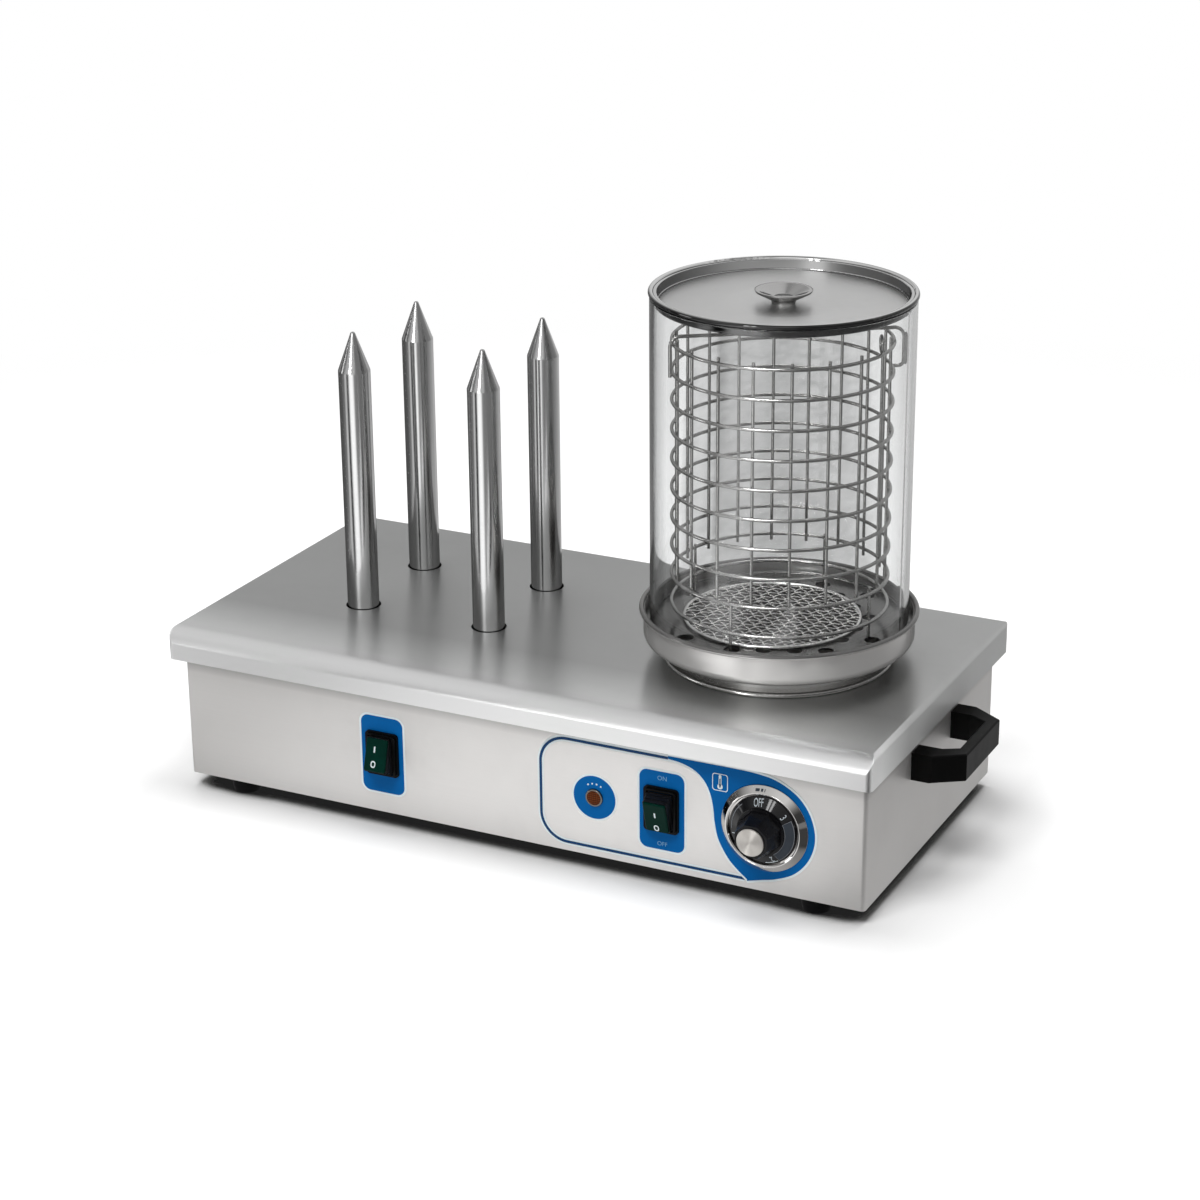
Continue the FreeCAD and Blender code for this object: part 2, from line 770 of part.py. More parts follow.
def thermostat_body():
    """Capillary thermostat behind the panel, with the bushing that its shaft turns in."""
    wall = panel_y + sheet
    place = on_front(dial_x, dial_z, -sheet)
    body = prism(rectangle(thermostat_width, thermostat_height, 3), place, BACK * thermostat_depth)
    body = body.fuse(rod(bushing_radius, V(dial_x, wall, dial_z), FRONT * sheet))
    body = body.cut(rod(shaft_radius + shaft_play, V(dial_x, panel_y, dial_z), BACK * (sheet + shaft_depth)))
    for point in thermostat_screw_points:
        body = body.cut(rod(shank, point, BACK * (sheet + 6)))
    for side in (-1, 1):
        body = body.fuse(blade(V(dial_x + side * thermostat_width / 4, wall + thermostat_depth, dial_z), BACK))
    return body


def thermostat_bulb():
    """Sensing bulb on the bowl's wall and the thin capillary that leads to the thermostat."""
    wall = panel_y + sheet + thermostat_depth
    low = boiler_floor_z + boiler_corner + 2
    angle = -150.0
    at = polar(boiler_radius + bulb_radius, angle, 0)
    half = bulb_length / 2
    bulb = rod(bulb_radius, V(at.x, at.y, low), UP * half)
    start = V(dial_x - thermostat_width / 4, wall, dial_z - thermostat_height / 3)
    under = low - capillary_drop
    lane = start.y + capillary_lane
    points = [start, V(start.x, lane, start.z), V(start.x, lane, under), V(at.x, lane, under),
              V(at.x, at.y, under), V(at.x, at.y, low + 1)]
    return bulb.fuse(bent_wire(points, capillary_radius, [capillary_bend] * (len(points) - 2)))


def dial_bezel():
    """Polished ring round the dial, dished to a thin floor that the thermostat's screws hold."""
    profile = [(bushing_radius + bushing_play, 0), (bezel_radius, 0), (bezel_radius, bezel_edge, 0.6),
               (bezel_bore_radius + 1.2, bezel_height, 0.8), (bezel_bore_radius, bezel_height - 0.8),
               (bezel_bore_radius, bezel_floor), (bushing_radius + bushing_play, bezel_floor)]
    bezel = turned(profile, V(dial_x, panel_y, dial_z), FRONT)
    for point in thermostat_screw_points:
        hole = shank + shank_play
        countersink = [(0, 0), (hole, 0), (shank * head_ratio + shank_play, bezel_floor), (0, bezel_floor)]
        bezel = bezel.cut(turned(countersink, point, FRONT))
    return bezel


def thermostat_screws():
    """Countersunk screws, flush with the bezel's floor under the dial."""
    end = -sheet - 6
    profile = [(0, bezel_floor), (shank * head_ratio, bezel_floor), (shank, 0), (shank, end), (0, end)]
    return Part.makeCompound([turned(profile, point, FRONT) for point in thermostat_screw_points])


def thermostat_shaft():
    """Turning shaft with a flat for the knob."""
    at = V(dial_x, panel_y, dial_z)
    back = shaft_depth - rest_gap
    out = dial_front - cap_height - cap_dome - grip_length + shaft_grip
    shaft = rod(shaft_radius, at + BACK * (sheet + back), FRONT * (sheet + back + out))
    flat_cut = Part.makeBox(4 * shaft_radius, shaft_grip, shaft_radius,
                            at + V(-2 * shaft_radius, -out, shaft_radius - shaft_flat))
    return shaft.cut(flat_cut)


def dial_skirt():
    """Flared black skirt that carries the scale."""
    radius = bezel_bore_radius - dial_play
    base = bezel_floor + dial_lift
    high = base + dial_edge + dial_rise
    profile = [(shaft_radius, base), (radius, base), (radius, base + dial_edge, 0.6),
               (grip_base_radius + 1, high), (shaft_radius, high)]
    return turned(profile, V(dial_x, panel_y, dial_z), FRONT)


def polygon_ring(radius, out):
    """Eight-sided wire in front of the panel, round the dial's axis."""
    points = []
    for k in range(grip_sides):
        angle = math.pi * (2 * k + 1) / grip_sides
        points.append(V(dial_x + radius * math.cos(angle), panel_y - out, dial_z + radius * math.sin(angle)))
    return Part.makePolygon(points + points[:1])


def knob_grip():
    """Tapered eight-sided grip on a low collar, bored for the shaft with its flat."""
    base = bezel_floor + dial_lift + dial_edge + dial_rise
    top = base + grip_length
    rings = [polygon_ring(grip_base_radius, base + grip_collar), polygon_ring(grip_top_radius, top)]
    grip = Part.makeLoft(rings, True, True)
    edges = [edge for edge in grip.Edges if abs(edge.tangentAt(edge.FirstParameter).y) > 0.5]
    grip = grip.makeFillet(2.2, edges)
    collar = rod(grip_base_radius + 0.6, V(dial_x, panel_y - base, dial_z), FRONT * grip_collar)
    grip = grip.fuse(collar)
    return grip.cut(thermostat_shaft())


def knob_cap():
    """Spun aluminium disc with a slight dome, inlaid in the grip's end."""
    base = dial_front - cap_height - cap_dome
    profile = [(0, base), (cap_radius, base), (cap_radius, base + cap_height, 0.4), (0, base + cap_height)]
    cap = turned(profile, V(dial_x, panel_y, dial_z), FRONT)
    dome_radius = (cap_radius ** 2 + cap_dome ** 2) / (2 * cap_dome)
    dome = Part.makeSphere(dome_radius, V(dial_x, panel_y - dial_front + dome_radius, dial_z))
    middle = V(dial_x, panel_y - base - cap_height / 2, dial_z)
    keep = rod(cap_radius - 0.6, middle, FRONT * (cap_height + cap_dome))
    return cap.fuse(dome.common(keep))


def pilot_lamp_body():
    """Indicator housing: a bright bezel in front of the panel and a barrel behind it."""
    at = V(lamp_x, panel_y, lamp_z)
    inner = lamp_lens_radius - 0.9
    profile = [(lamp_radius, 0), (lamp_radius, lamp_stand, 0.7), (lamp_lens_radius, lamp_stand),
               (lamp_lens_radius, 0.2), (inner, 0.2), (inner, -lamp_depth + 2), (0, -lamp_depth + 2),
               (0, -lamp_depth), (lamp_lens_radius, -lamp_depth), (lamp_lens_radius, 0)]
    return turned(profile, at, FRONT)


def pilot_lens():
    """Amber lens let into the lamp's bezel."""
    at = V(lamp_x, panel_y, lamp_z)
    profile = [(0, 0.2), (lamp_lens_radius, 0.2), (lamp_lens_radius, lamp_stand),
               (lamp_lens_radius - 0.8, lamp_stand + 0.5, 0.6), (0, lamp_stand + 0.7)]
    return turned(profile, at, FRONT)


def switch_housing(x):
    """Panel switch: stepped collar in front, body through the panel, blades behind."""
    place = on_front(x, switch_z, 0)
    collar = prism(rectangle(collar_width, collar_height, 3), place, FRONT * collar_step)
    step = prism(rectangle(collar_width - 2 * collar_inset, collar_height - 2 * collar_inset, 2.5),
                 on_front(x, switch_z, collar_step), FRONT * collar_step)
    body_width = switch_cut_width - 2 * switch_cut_play
    body_height = switch_cut_height - 2 * switch_cut_play
    body = prism(rectangle(body_width, body_height, 0.8), place, BACK * switch_body_depth)
    housing = collar.fuse(step).fuse(body)
    well = prism(rectangle(body_width - 2 * switch_wall, body_height - 2 * switch_wall, 0.6),
                 on_front(x, switch_z, 2 * collar_step), BACK * (2 * collar_step + rocker_height / 3))
    housing = housing.cut(well)
    pin_half = rocker_width / 2 + trunnion_length + 0.3
    pin = V(x - pin_half, panel_y - rocker_pivot_out, switch_z)
    housing = housing.cut(rod(trunnion_radius + trunnion_play, pin, RIGHT * 2 * pin_half))
    for row in (-1, 1):
        for side in (-1, 1):
            root = V(x + side * 5, panel_y + switch_body_depth, switch_z + row * 8)
            housing = housing.fuse(blade(root, BACK))
    return housing


def rocker_block(x, low, high, inset, radius):
    """One tier of a rocker between two distances in front of its pivot."""
    size = (rocker_width - 2 * inset, rocker_height - 2 * inset)
    place = on_front(x, switch_z, rocker_pivot_out + low)
    return prism(rectangle(*size, radius), place, FRONT * (high - low))


def tilt(shape, x, direction):
    """Turn a rocker round its pivot: +1 sends its top into the case, -1 its bottom."""
    turned_shape = shape.copy()
    turned_shape.rotate(V(x, panel_y - rocker_pivot_out, switch_z), RIGHT, -direction * rocker_tilt)
    return turned_shape


def rocker(x, direction):
    """Rocker in three shrinking tiers on two trunnions."""
    tiers = (rocker_front + rocker_back) / 3
    solid = None
    for index in range(3):
        low = -rocker_back + index * tiers
        tier = rocker_block(x, low, low + tiers, index * rocker_tier_inset, 1.5)
        solid = tier if solid is None else solid.fuse(tier)
    half = rocker_width / 2 + trunnion_length
    pin_end = V(x - half, panel_y - rocker_pivot_out, switch_z)
    solid = solid.fuse(rod(trunnion_radius, pin_end, RIGHT * 2 * half))
    return tilt(solid, x, direction)


def rocker_window(x, direction):
    """Green window on the rocker's face."""
    inset = 2 * rocker_tier_inset + rocker_lens_inset
    window = rocker_block(x, rocker_front, rocker_front + rocker_lens, inset, 1.5)
    front = panel_y - rocker_pivot_out - rocker_front - rocker_lens
    face = [edge for edge in window.Edges if edge.BoundBox.YMax < front + 0.01]
    return tilt(window.makeFillet(rocker_lens * 0.6, face), x, direction)


def steam_pan():
    """Pressed pan: rolled rim, round lower corner, ledge for the floor, spigot into the boiler."""
    t = pan_sheet
    spigot = boiler_radius - boiler_sheet - spigot_play
    top = pan_z + pan_height
    wall_top = top - pan_rim_bead
    ledge = floor_z - t
    profile = [(spigot - t, pan_z - spigot_depth), (spigot, pan_z - spigot_depth), (spigot, pan_z),
               (pan_radius, pan_z, pan_corner), (pan_radius, wall_top), (pan_radius - t, wall_top),
               (pan_radius - t, pan_z + t, pan_corner - t), (ledge_radius + t, pan_z + t),
               (ledge_radius + t, ledge), (ledge_radius, ledge), (ledge_radius, pan_z + t), (spigot - t, pan_z + t)]
    pan = turned(profile, steamer_centre + UP * rest_gap)
    bead = Part.makeTorus(pan_rim_radius - pan_rim_bead, pan_rim_bead,
                          steamer_centre + UP * (top - pan_rim_bead + rest_gap), UP)
    return pan.fuse(bead)


def steam_hole(column, row):
    """Place of one steam hole, from the steamer's axis, in the staggered grid that is turned in the pan."""
    across = steam_hole_pitch * (column + row % 2 / 2)
    along = steam_hole_pitch * row
    turn = math.radians(steam_hole_turn)
    return V(across * math.cos(turn) - along * math.sin(turn), across * math.sin(turn) + along * math.cos(turn), 0)


def perforated_plate():
    """Floor plate with a staggered grid of steam holes inside the glass; it lies on the pan's ledge."""
    radius = pan_radius - pan_sheet - floor_play
    low = floor_z - pan_sheet + rest_gap
    plate = rod(radius, steamer_centre + UP * low, UP * pan_sheet)
    reach = glass_radius - glass_wall - steam_hole_radius - steam_hole_margin
    count = int(reach / steam_hole_pitch) + 1
    holes = []
    for row in range(-count, count + 1):
        for column in range(-count, count + 1):
            at = steam_hole(column, row)
            if at.Length > reach:
                continue
            start = steamer_centre + at + UP * (low - pan_sheet)
            holes.append(rod(steam_hole_radius, start, UP * 3 * pan_sheet))
    print("steam holes", len(holes))
    return plate.cut(Part.makeCompound(holes))


def mesh_disc():
    """Round wire-mesh trivet: one flat face with diamond gaps inside a border wire."""
    low = floor_z + rest_gap
    at = mesh_centre + UP * low
    inner = mesh_radius - mesh_border
    diagonal = (mesh_pitch - mesh_wire) / math.sqrt(2)
    outer = Part.Wire([Part.makeCircle(mesh_radius - mesh_border / 2, at, UP)])
    gaps = []
    reach = int(inner / mesh_pitch) + 1
    for row in range(-reach, reach + 1):
        for column in range(-reach, reach + 1):
            middle = V(row + column, row - column, 0) * (mesh_pitch / math.sqrt(2))
            if middle.Length + diagonal > inner:
                continue
            points = [at + middle + corner * diagonal for corner in (RIGHT, BACK, -RIGHT, FRONT)]
            gaps.append(Part.makePolygon(points + points[:1]))
    print("mesh gaps", len(gaps))
    face = Part.Face([outer] + gaps)
    net = face.extrude(UP * mesh_wire)
    border = Part.makeTorus(inner + mesh_border / 2, mesh_border / 2, at + UP * mesh_border / 2, UP)
    return net.fuse(border)


def glass_cylinder():
    """Plain glass tube with softened ends, standing on the pan's floor."""
    inner = glass_radius - glass_wall
    top = glass_top + rest_gap
    low = glass_z + rest_gap
    corners = ((inner, low), (glass_radius, low), (glass_radius, top), (inner, top))
    return turned([(radius, height, glass_edge) for radius, height in corners], steamer_centre)


def lid_dish():
    """Spun lid: rolled rim on the glass, a plug wall inside it and a dished middle."""
    t = lid_sheet
    base = lid_z + rest_gap
    low = base - lid_plug_depth
    web = base + lid_bead_radius
    plug = lid_plug_radius
    bead_centre = lid_rim_radius - lid_bead_radius
    seat = lid_centre_radius * 0.4
    dip = low - lid_centre_drop
    profile = [(shank, dip), (seat, dip), (lid_centre_radius, low), (plug, low, lid_corner), (plug, web - t / 2),
               (bead_centre, web - t / 2), (bead_centre, web + t / 2), (plug - t, web + t / 2, t / 2),
               (plug - t, low + t, lid_corner - t), (lid_centre_radius, low + t), (seat, dip + t), (shank, dip + t)]
    lid = turned(profile, steamer_centre)
    bead = Part.makeTorus(bead_centre, lid_bead_radius, steamer_centre + UP * web, UP)
    return lid.fuse(bead)


lid_knob_z = lid_z + rest_gap - lid_plug_depth + lid_sheet - lid_centre_drop


def lid_knob():
    """Spun trumpet knob, hollow from above, with a tapped stem."""
    top = knob_height
    t = knob_wall
    flange = knob_flange_radius
    neck = knob_neck_radius
    cup = knob_height / 2
    profile = [(0, 0), (neck, 0), (neck, 2.2, 3), (flange, top - t, 2), (flange, top, 0.5),
               (flange - 2, top, 1.5), (neck - t, cup, 2), (0, cup)]
    knob = turned(profile, steamer_centre + UP * lid_knob_z)
    return knob.cut(rod(shank, steamer_centre + UP * lid_knob_z, UP * 3.5))


def lid_screw():
    """Screw up through the lid into the knob."""
    return screw(shank, lid_sheet + 3.3, steamer_centre + UP * (lid_knob_z - lid_sheet), UP)


def ring_z(index):
    """Height of a basket ring, counted from the lowest."""
    return first_ring_z + ring_pitch * index


def basket_rings():
    """Level wire hoops, one above the other."""
    hoops = [Part.makeTorus(ring_radius, ring_wire, steamer_centre + UP * ring_z(index), UP)
             for index in range(ring_count)]
    return Part.makeCompound(hoops)


def basket_uprights():
    """Straight wires welded inside the hoops; four longer ones end in the holes of the pan's floor."""
    radius = ring_radius - ring_wire - upright_wire - weld_gap
    top = ring_z(ring_count - 1) + upright_reach
    low = ring_z(1) - upright_reach
    wires = []
    for index in range(upright_count):
        angle = upright_first_angle + 360.0 / upright_count * index
        wires.append(rod(upright_wire, polar(radius, angle, low), UP * (top - low)))
    leg_low = pan_z + pan_sheet + 2 * rest_gap
    for column, row in leg_holes:
        hole = steam_hole(column, row)
        angle = math.degrees(math.atan2(hole.y, hole.x))
        wires.append(rod(upright_wire, polar(radius, angle, leg_low), UP * (ring_z(1) + upright_reach - leg_low)))
    return Part.makeCompound(wires)


def basket_bail():
    """Lifting bow: one foot is welded along the hoops, the other stands off and is hooked in to its hoop.
    An eye of thinner wire stands on the top hoop."""
    radius = ring_radius + ring_wire + bail_wire + weld_gap
    foot = ring_z(bail_foot_ring)
    low = foot - ring_wire
    high = low + bail_height
    points = [polar(radius, bail_angle, low), polar(radius, bail_angle, high),
              polar(bail_free_radius, bail_free_angle, high), polar(bail_free_radius, bail_free_angle, foot),
              polar(ring_radius + ring_wire + weld_gap, bail_free_angle, foot)]
    bow = bent_wire(points, bail_wire, [bail_bend, bail_bend, bail_hook_bend])
    eye_z = ring_z(ring_count - 1) + ring_wire + weld_gap + eye_wire + eye_radius
    facing = polar(1, eye_angle + eye_turn) - steamer_centre
    eye = Part.makeTorus(eye_radius, eye_wire, polar(ring_radius, eye_angle, eye_z), facing)
    return Part.makeCompound([bow, eye])


def terminal_block():
    """Row of screw terminals on the base plate."""
    length = terminal_ways * terminal_pitch
    body = block(length, terminal_depth, terminal_height * 0.6, terminal_x, terminal_y, casing_floor + sheet)
    for index in range(terminal_ways):
        x = terminal_x + (index - (terminal_ways - 1) / 2) * terminal_pitch
        tower = block(terminal_pitch - 2.5, terminal_depth * 0.7, terminal_height * 0.4, x, terminal_y,
                      casing_floor + sheet + terminal_height * 0.6, 1.0)
        body = body.fuse(tower)
        for side in (-1, 1):
            at = V(x, terminal_y + side * terminal_depth * 0.2, casing_floor + sheet + terminal_height * 0.5)
            body = body.cut(rod(1.8, at, UP * terminal_height))
    return body


def power_inlet():
    """Appliance inlet let into the rear wall, with an open socket."""
    place = on_rear(inlet_x, rear_y)
    flange = prism(rectangle(inlet_flange_width, inlet_height + 4, 6), place, BACK * inlet_flange)
    body = prism(rectangle(inlet_width - 0.4, inlet_height - 0.4, 2), place, FRONT * inlet_depth)
    wall = 2 * inlet_wall
    mouth = on_rear(inlet_x, rear_y + inlet_flange)
    width = (inlet_width - wall) / 2
    high = (inlet_height - wall) / 2
    slant = inlet_key_slant
    corners = [(-width, -high), (width, -high), (width, high - slant), (width - slant, high),
               (slant - width, high), (-width, high - slant)]
    socket = prism(corners, mouth, FRONT * (inlet_flange + inlet_socket_depth))
    inlet = flange.fuse(body).cut(socket)
    for point in inlet_screw_points:
        inlet = inlet.cut(rod(small_shank + shank_play, point, BACK * inlet_flange))
    return inlet


def inlet_pins():
    """Three flat pins in the inlet's socket, each with a tab behind."""
    group = []
    root = rear_y - inlet_socket_depth
    for x, z in ((-inlet_pin_spacing, -1.5), (inlet_pin_spacing, -1.5), (0, 2.0)):
        group.append(Part.makeBox(2.0, inlet_pin_length, 4.0, V(inlet_x + x - 1, root, inlet_z + z - 2)))
    return Part.makeCompound(group)


def inlet_screws():
    """Screws through the inlet's ears into the rear wall."""
    seat = BACK * inlet_flange
    return Part.makeCompound([screw(small_shank, inlet_flange + sheet + 4, point + seat, FRONT)
                              for point in inlet_screw_points])


def earth_stud():
    """Earth stud with its nut on the base plate."""
    at = V(earth_x, earth_y, casing_floor + sheet)
    return rod(shank, at, UP * earth_stud_length).fuse(hexagon(7, 3.2, at, UP))


def build():
    """Every piece by name."""
    parts = {
        "casing_shell": casing_shell(),
        "base_plate": base_plate(),
        "top_cover": top_cover(),
        "foot_screws": foot_screws(),
        "base_screws": base_screws(),
        "cover_nuts": cover_nuts(),
        "side_handle_left": side_handle(-1),
        "side_handle_right": side_handle(1),
        "handle_screws": handle_screws(),
        "spike_bracket": spike_bracket(),
        "cartridge_heaters": cartridge_heaters(),
        "spike_nuts": spike_nuts(),
        "boiler_bowl": boiler_bowl(),
        "boiler_collar": boiler_collar(),
        "boiler_clips": boiler_clips(),
        "boiler_heater": boiler_heater(),
        "heater_clamp_plate": heater_clamp_plate(),
        "heater_nut": heater_nut(),
        "safety_cutout": safety_cutout(),
        "thermostat_body": thermostat_body(),
        "thermostat_bulb": thermostat_bulb(),
        "thermostat_screws": thermostat_screws(),
        "dial_bezel": dial_bezel(),
        "thermostat_shaft": thermostat_shaft(),
        "dial_skirt": dial_skirt(),
        "knob_grip": knob_grip(),
        "knob_cap": knob_cap(),
        "pilot_lamp_body": pilot_lamp_body(),
        "pilot_lens": pilot_lens(),
        "switch_left": switch_housing(left_switch_x),
        "switch_right": switch_housing(right_switch_x),
        "rocker_left": rocker(left_switch_x, 1),
        "rocker_right": rocker(right_switch_x, -1),
        "rocker_window_left": rocker_window(left_switch_x, 1),
        "rocker_window_right": rocker_window(right_switch_x, -1),
        "steam_pan": steam_pan(),
        "perforated_plate": perforated_plate(),
        "mesh_disc": mesh_disc(),
        "glass_cylinder": glass_cylinder(),
        "lid_dish": lid_dish(),
        "lid_knob": lid_knob(),
        "lid_screw": lid_screw(),
        "basket_rings": basket_rings(),
        "basket_uprights": basket_uprights(),
        "basket_bail": basket_bail(),
        "terminal_block": terminal_block(),
        "power_inlet": power_inlet(),
        "inlet_pins": inlet_pins(),
        "inlet_screws": inlet_screws(),
        "earth_stud": earth_stud(),
    }
    for name, point in foot_points.items():
        parts["foot_" + name] = foot(point)
    for name, point in spike_points.items():
        parts["spike_" + name] = spike(point)
    return parts


os.makedirs("parts", exist_ok=True)
for name, shape in build().items():
    placed = shape.copy()
    placed.translate(to_origin)
    placed.exportStep("parts/" + name + ".step")
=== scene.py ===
"""Looks of a counter machine with four heated spikes and a glass steamer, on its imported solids.

Pieces are worked out in millimetres, Z up; finished meshes, materials and the studio are in metres.
"""
import json

import bpy
import numpy as np
from mathutils import Matrix, Vector


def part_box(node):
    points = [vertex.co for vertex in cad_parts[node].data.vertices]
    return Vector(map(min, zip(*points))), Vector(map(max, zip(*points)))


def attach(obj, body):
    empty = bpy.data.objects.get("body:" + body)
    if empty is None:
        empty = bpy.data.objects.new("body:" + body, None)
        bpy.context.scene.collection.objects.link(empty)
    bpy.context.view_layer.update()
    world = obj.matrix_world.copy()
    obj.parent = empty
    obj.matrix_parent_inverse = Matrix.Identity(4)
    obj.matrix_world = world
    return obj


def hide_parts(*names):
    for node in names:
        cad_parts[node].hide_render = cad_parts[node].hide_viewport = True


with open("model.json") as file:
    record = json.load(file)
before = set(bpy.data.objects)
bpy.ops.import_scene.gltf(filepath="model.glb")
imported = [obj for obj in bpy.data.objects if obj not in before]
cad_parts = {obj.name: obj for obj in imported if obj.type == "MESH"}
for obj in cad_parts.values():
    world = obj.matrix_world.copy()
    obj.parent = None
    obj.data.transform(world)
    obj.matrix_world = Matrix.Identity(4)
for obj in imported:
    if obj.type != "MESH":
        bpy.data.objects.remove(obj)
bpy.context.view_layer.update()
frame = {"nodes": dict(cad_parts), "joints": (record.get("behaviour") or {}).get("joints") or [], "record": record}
nodes = frame["nodes"]

MM = 0.001


def box_of(node):
    """The lowest and highest corners of a CAD node, in millimetres to a tenth."""
    return np.round(np.array([tuple(corner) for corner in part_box(node)]) / MM, 1)


dial_joint = next(joint for joint in frame["joints"] if joint["name"] == "thermostat_turn")
dial_x, panel_y, dial_z = np.round(np.array(dial_joint["pos_m"]) / MM, 1)
steamer_x, steamer_y, _ = box_of("glass_cylinder").mean(axis=0)
skirt_y = box_of("dial_skirt")[0, 1]
mesh_top, plate_top = box_of("mesh_disc")[1, 2], box_of("perforated_plate")[1, 2]


# Meshes worked out as arrays

def add_object(name, data):
    """An object with its data, linked to the scene."""
    made = bpy.data.objects.new(name, data)
    bpy.context.scene.collection.objects.link(made)
    return made


def finish_mesh(name, points, faces, body, finish, slot_name, smooth=True):
    """A mesh piece from points in millimetres and faces of point numbers, riding on a body."""
    mesh = bpy.data.meshes.new(name)
    corners = np.asarray(points, float).reshape(-1, 3) * MM
    mesh.from_pydata(corners, [], [list(map(int, face)) for face in faces])
    mesh.validate()
    mesh.polygons.foreach_set("use_smooth", np.full(len(mesh.polygons), smooth))
    mesh.update()
    piece = add_object(name, mesh)
    piece.data.materials.append(finish)
    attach(piece, body)
    return piece


def grid_faces(rows, columns, wrap_rows=False, wrap_columns=False, first=0):
    """Quads between neighbours of a grid numbered row by row; wrapping joins the last to the first."""
    row = np.arange(rows if wrap_rows else rows - 1)
    column = np.arange(columns if wrap_columns else columns - 1)
    r, c = np.meshgrid(row, column, indexing="ij")
    r2, c2 = (r + 1) % rows, (c + 1) % columns
    quads = np.stack([r * columns + c, r * columns + c2, r2 * columns + c2, r2 * columns + c], axis=-1)
    return (quads.reshape(-1, 4) + first).tolist()


def tube_grid(path, radius, sides, closed=False):
    """Rings of points round a path: centre + radius * (cos a * side + sin a * up), with side level."""
    path = np.asarray(path, float)
    ahead = np.roll(path, -1, axis=0) - np.roll(path, 1, axis=0)
    if not closed:
        ahead[0], ahead[-1] = path[1] - path[0], path[-1] - path[-2]
    ahead /= np.linalg.norm(ahead, axis=1, keepdims=True)
    side = np.cross(ahead, [0.0, 0.0, 1.0])
    side /= np.linalg.norm(side, axis=1, keepdims=True)
    up = np.cross(side, ahead)
    angle = np.linspace(0, 2 * np.pi, sides, endpoint=False)[None, :, None]
    return path[:, None] + radius * (np.cos(angle) * side[:, None] + np.sin(angle) * up[:, None])


def strip(near, far, low_y, high_y):
    """A thin plate between two lines of (x, z) points: each row is its four corners, low_y to high_y."""
    near, far = np.asarray(near, float), np.asarray(far, float)
    section = []
    for line, depth in ((near, low_y), (far, low_y), (far, high_y), (near, high_y)):
        section.append(np.column_stack([line[:, 0], np.full(len(line), depth), line[:, 1]]))
    return np.stack(section, axis=1)


def smooth_line(points, count, per_piece=24):
    """A Catmull-Rom curve, a cubic between each two points, as count points evenly spaced along it."""
    points = np.asarray(points, float)
    ends = np.vstack([2 * points[0] - points[1], points, 2 * points[-1] - points[-2]])
    t = np.linspace(0, 1, per_piece, endpoint=False)[None, :, None]
    p0, p1, p2, p3 = (ends[i:len(ends) - 3 + i][:, None] for i in range(4))
    curve = 0.5 * (2 * p1 + (p2 - p0) * t + (2 * p0 - 5 * p1 + 4 * p2 - p3) * t ** 2
                   + (3 * p1 - p0 - 3 * p2 + p3) * t ** 3)
    curve = np.vstack([curve.reshape(-1, points.shape[1]), points[-1:]])
    return even_line(curve, count)


def even_line(points, count):
    """The same line with count points at equal steps along it."""
    points = np.asarray(points, float)
    run = np.concatenate([[0], np.cumsum(np.linalg.norm(np.diff(points, axis=0), axis=1))])
    steps = np.linspace(0, run[-1], count)
    return np.column_stack([np.interp(steps, run, points[:, i]) for i in range(points.shape[1])])


def offset_line(points, distance):
    """A flat line moved sideways by distance, to the left of its run."""
    run = np.gradient(points, axis=0)
    run /= np.linalg.norm(run, axis=1, keepdims=True)
    return points + distance * np.column_stack([-run[:, 1], run[:, 0]])


def arc(centre, radius, start, end, count):
    """Points of a circle from start to end, in degrees from +X towards +Z."""
    angle = np.radians(np.linspace(start, end, count))
    return np.column_stack([centre[0] + radius * np.cos(angle), centre[1] + radius * np.sin(angle)])


def rounded_sides(centre, size, corner, count=41):
    """Left and right edges of a round-cornered plate, bottom to top: half its width less the corner's bow."""
    half_width, half_height = size[0] / 2, size[1] / 2
    z = -half_height * np.cos(np.linspace(0, np.pi, count))
    into = np.clip(np.abs(z) - (half_height - corner), 0, corner)
    x = half_width - corner + np.sqrt(np.maximum(corner ** 2 - into ** 2, 0))
    return np.column_stack([centre[0] - x, centre[1] + z]), np.column_stack([centre[0] + x, centre[1] + z])


def read_corners(mesh):
    """The places of a mesh's vertices, one in each row."""
    corners = np.empty(len(mesh.vertices) * 3)
    mesh.vertices.foreach_get("co", corners)
    return corners.reshape(-1, 3)


def outwards(piece):
    """Turns a closed mesh's faces outwards, by the sign of its volume."""
    mesh = piece.data
    mesh.calc_loop_triangles()
    corners = read_corners(mesh)
    corners -= corners.mean(axis=0)
    triangles = np.empty(len(mesh.loop_triangles) * 3, dtype=np.int32)
    mesh.loop_triangles.foreach_get("vertices", triangles)
    a, b, c = (corners[triangles.reshape(-1, 3)[:, i]] for i in range(3))
    if np.einsum("ij,ij->i", a, np.cross(b, c)).sum() < 0:
        mesh.flip_normals()


def reshape(piece, moved):
    """Moves a piece's vertices: moved takes x, y and z in millimetres and gives the new y."""
    mesh = piece.data
    corners = read_corners(mesh)
    x, y, z = (corners / MM).T
    corners[:, 1] = moved(x, y, z) * MM
    mesh.vertices.foreach_set("co", corners.ravel())
    mesh.update()


# Printed films and lettering, in thin raised layers

print_step, print_root = 0.12, 0.02


def film(name, near, far, layer, body, finish, base_y=panel_y, closed=False):
    """A printed film between two lines, its layer counted outwards from base_y; a closed one is a ring."""
    grid = strip(near, far, base_y + print_root, base_y - print_step * layer)
    faces = grid_faces(len(near), 4, wrap_rows=closed, wrap_columns=True)
    if not closed:
        last = (len(near) - 1) * 4
        faces += [[3, 2, 1, 0], [last, last + 1, last + 2, last + 3]]
    piece = finish_mesh(name, grid, faces, body, finish, "black_gloss", smooth=False)
    outwards(piece)
    return piece


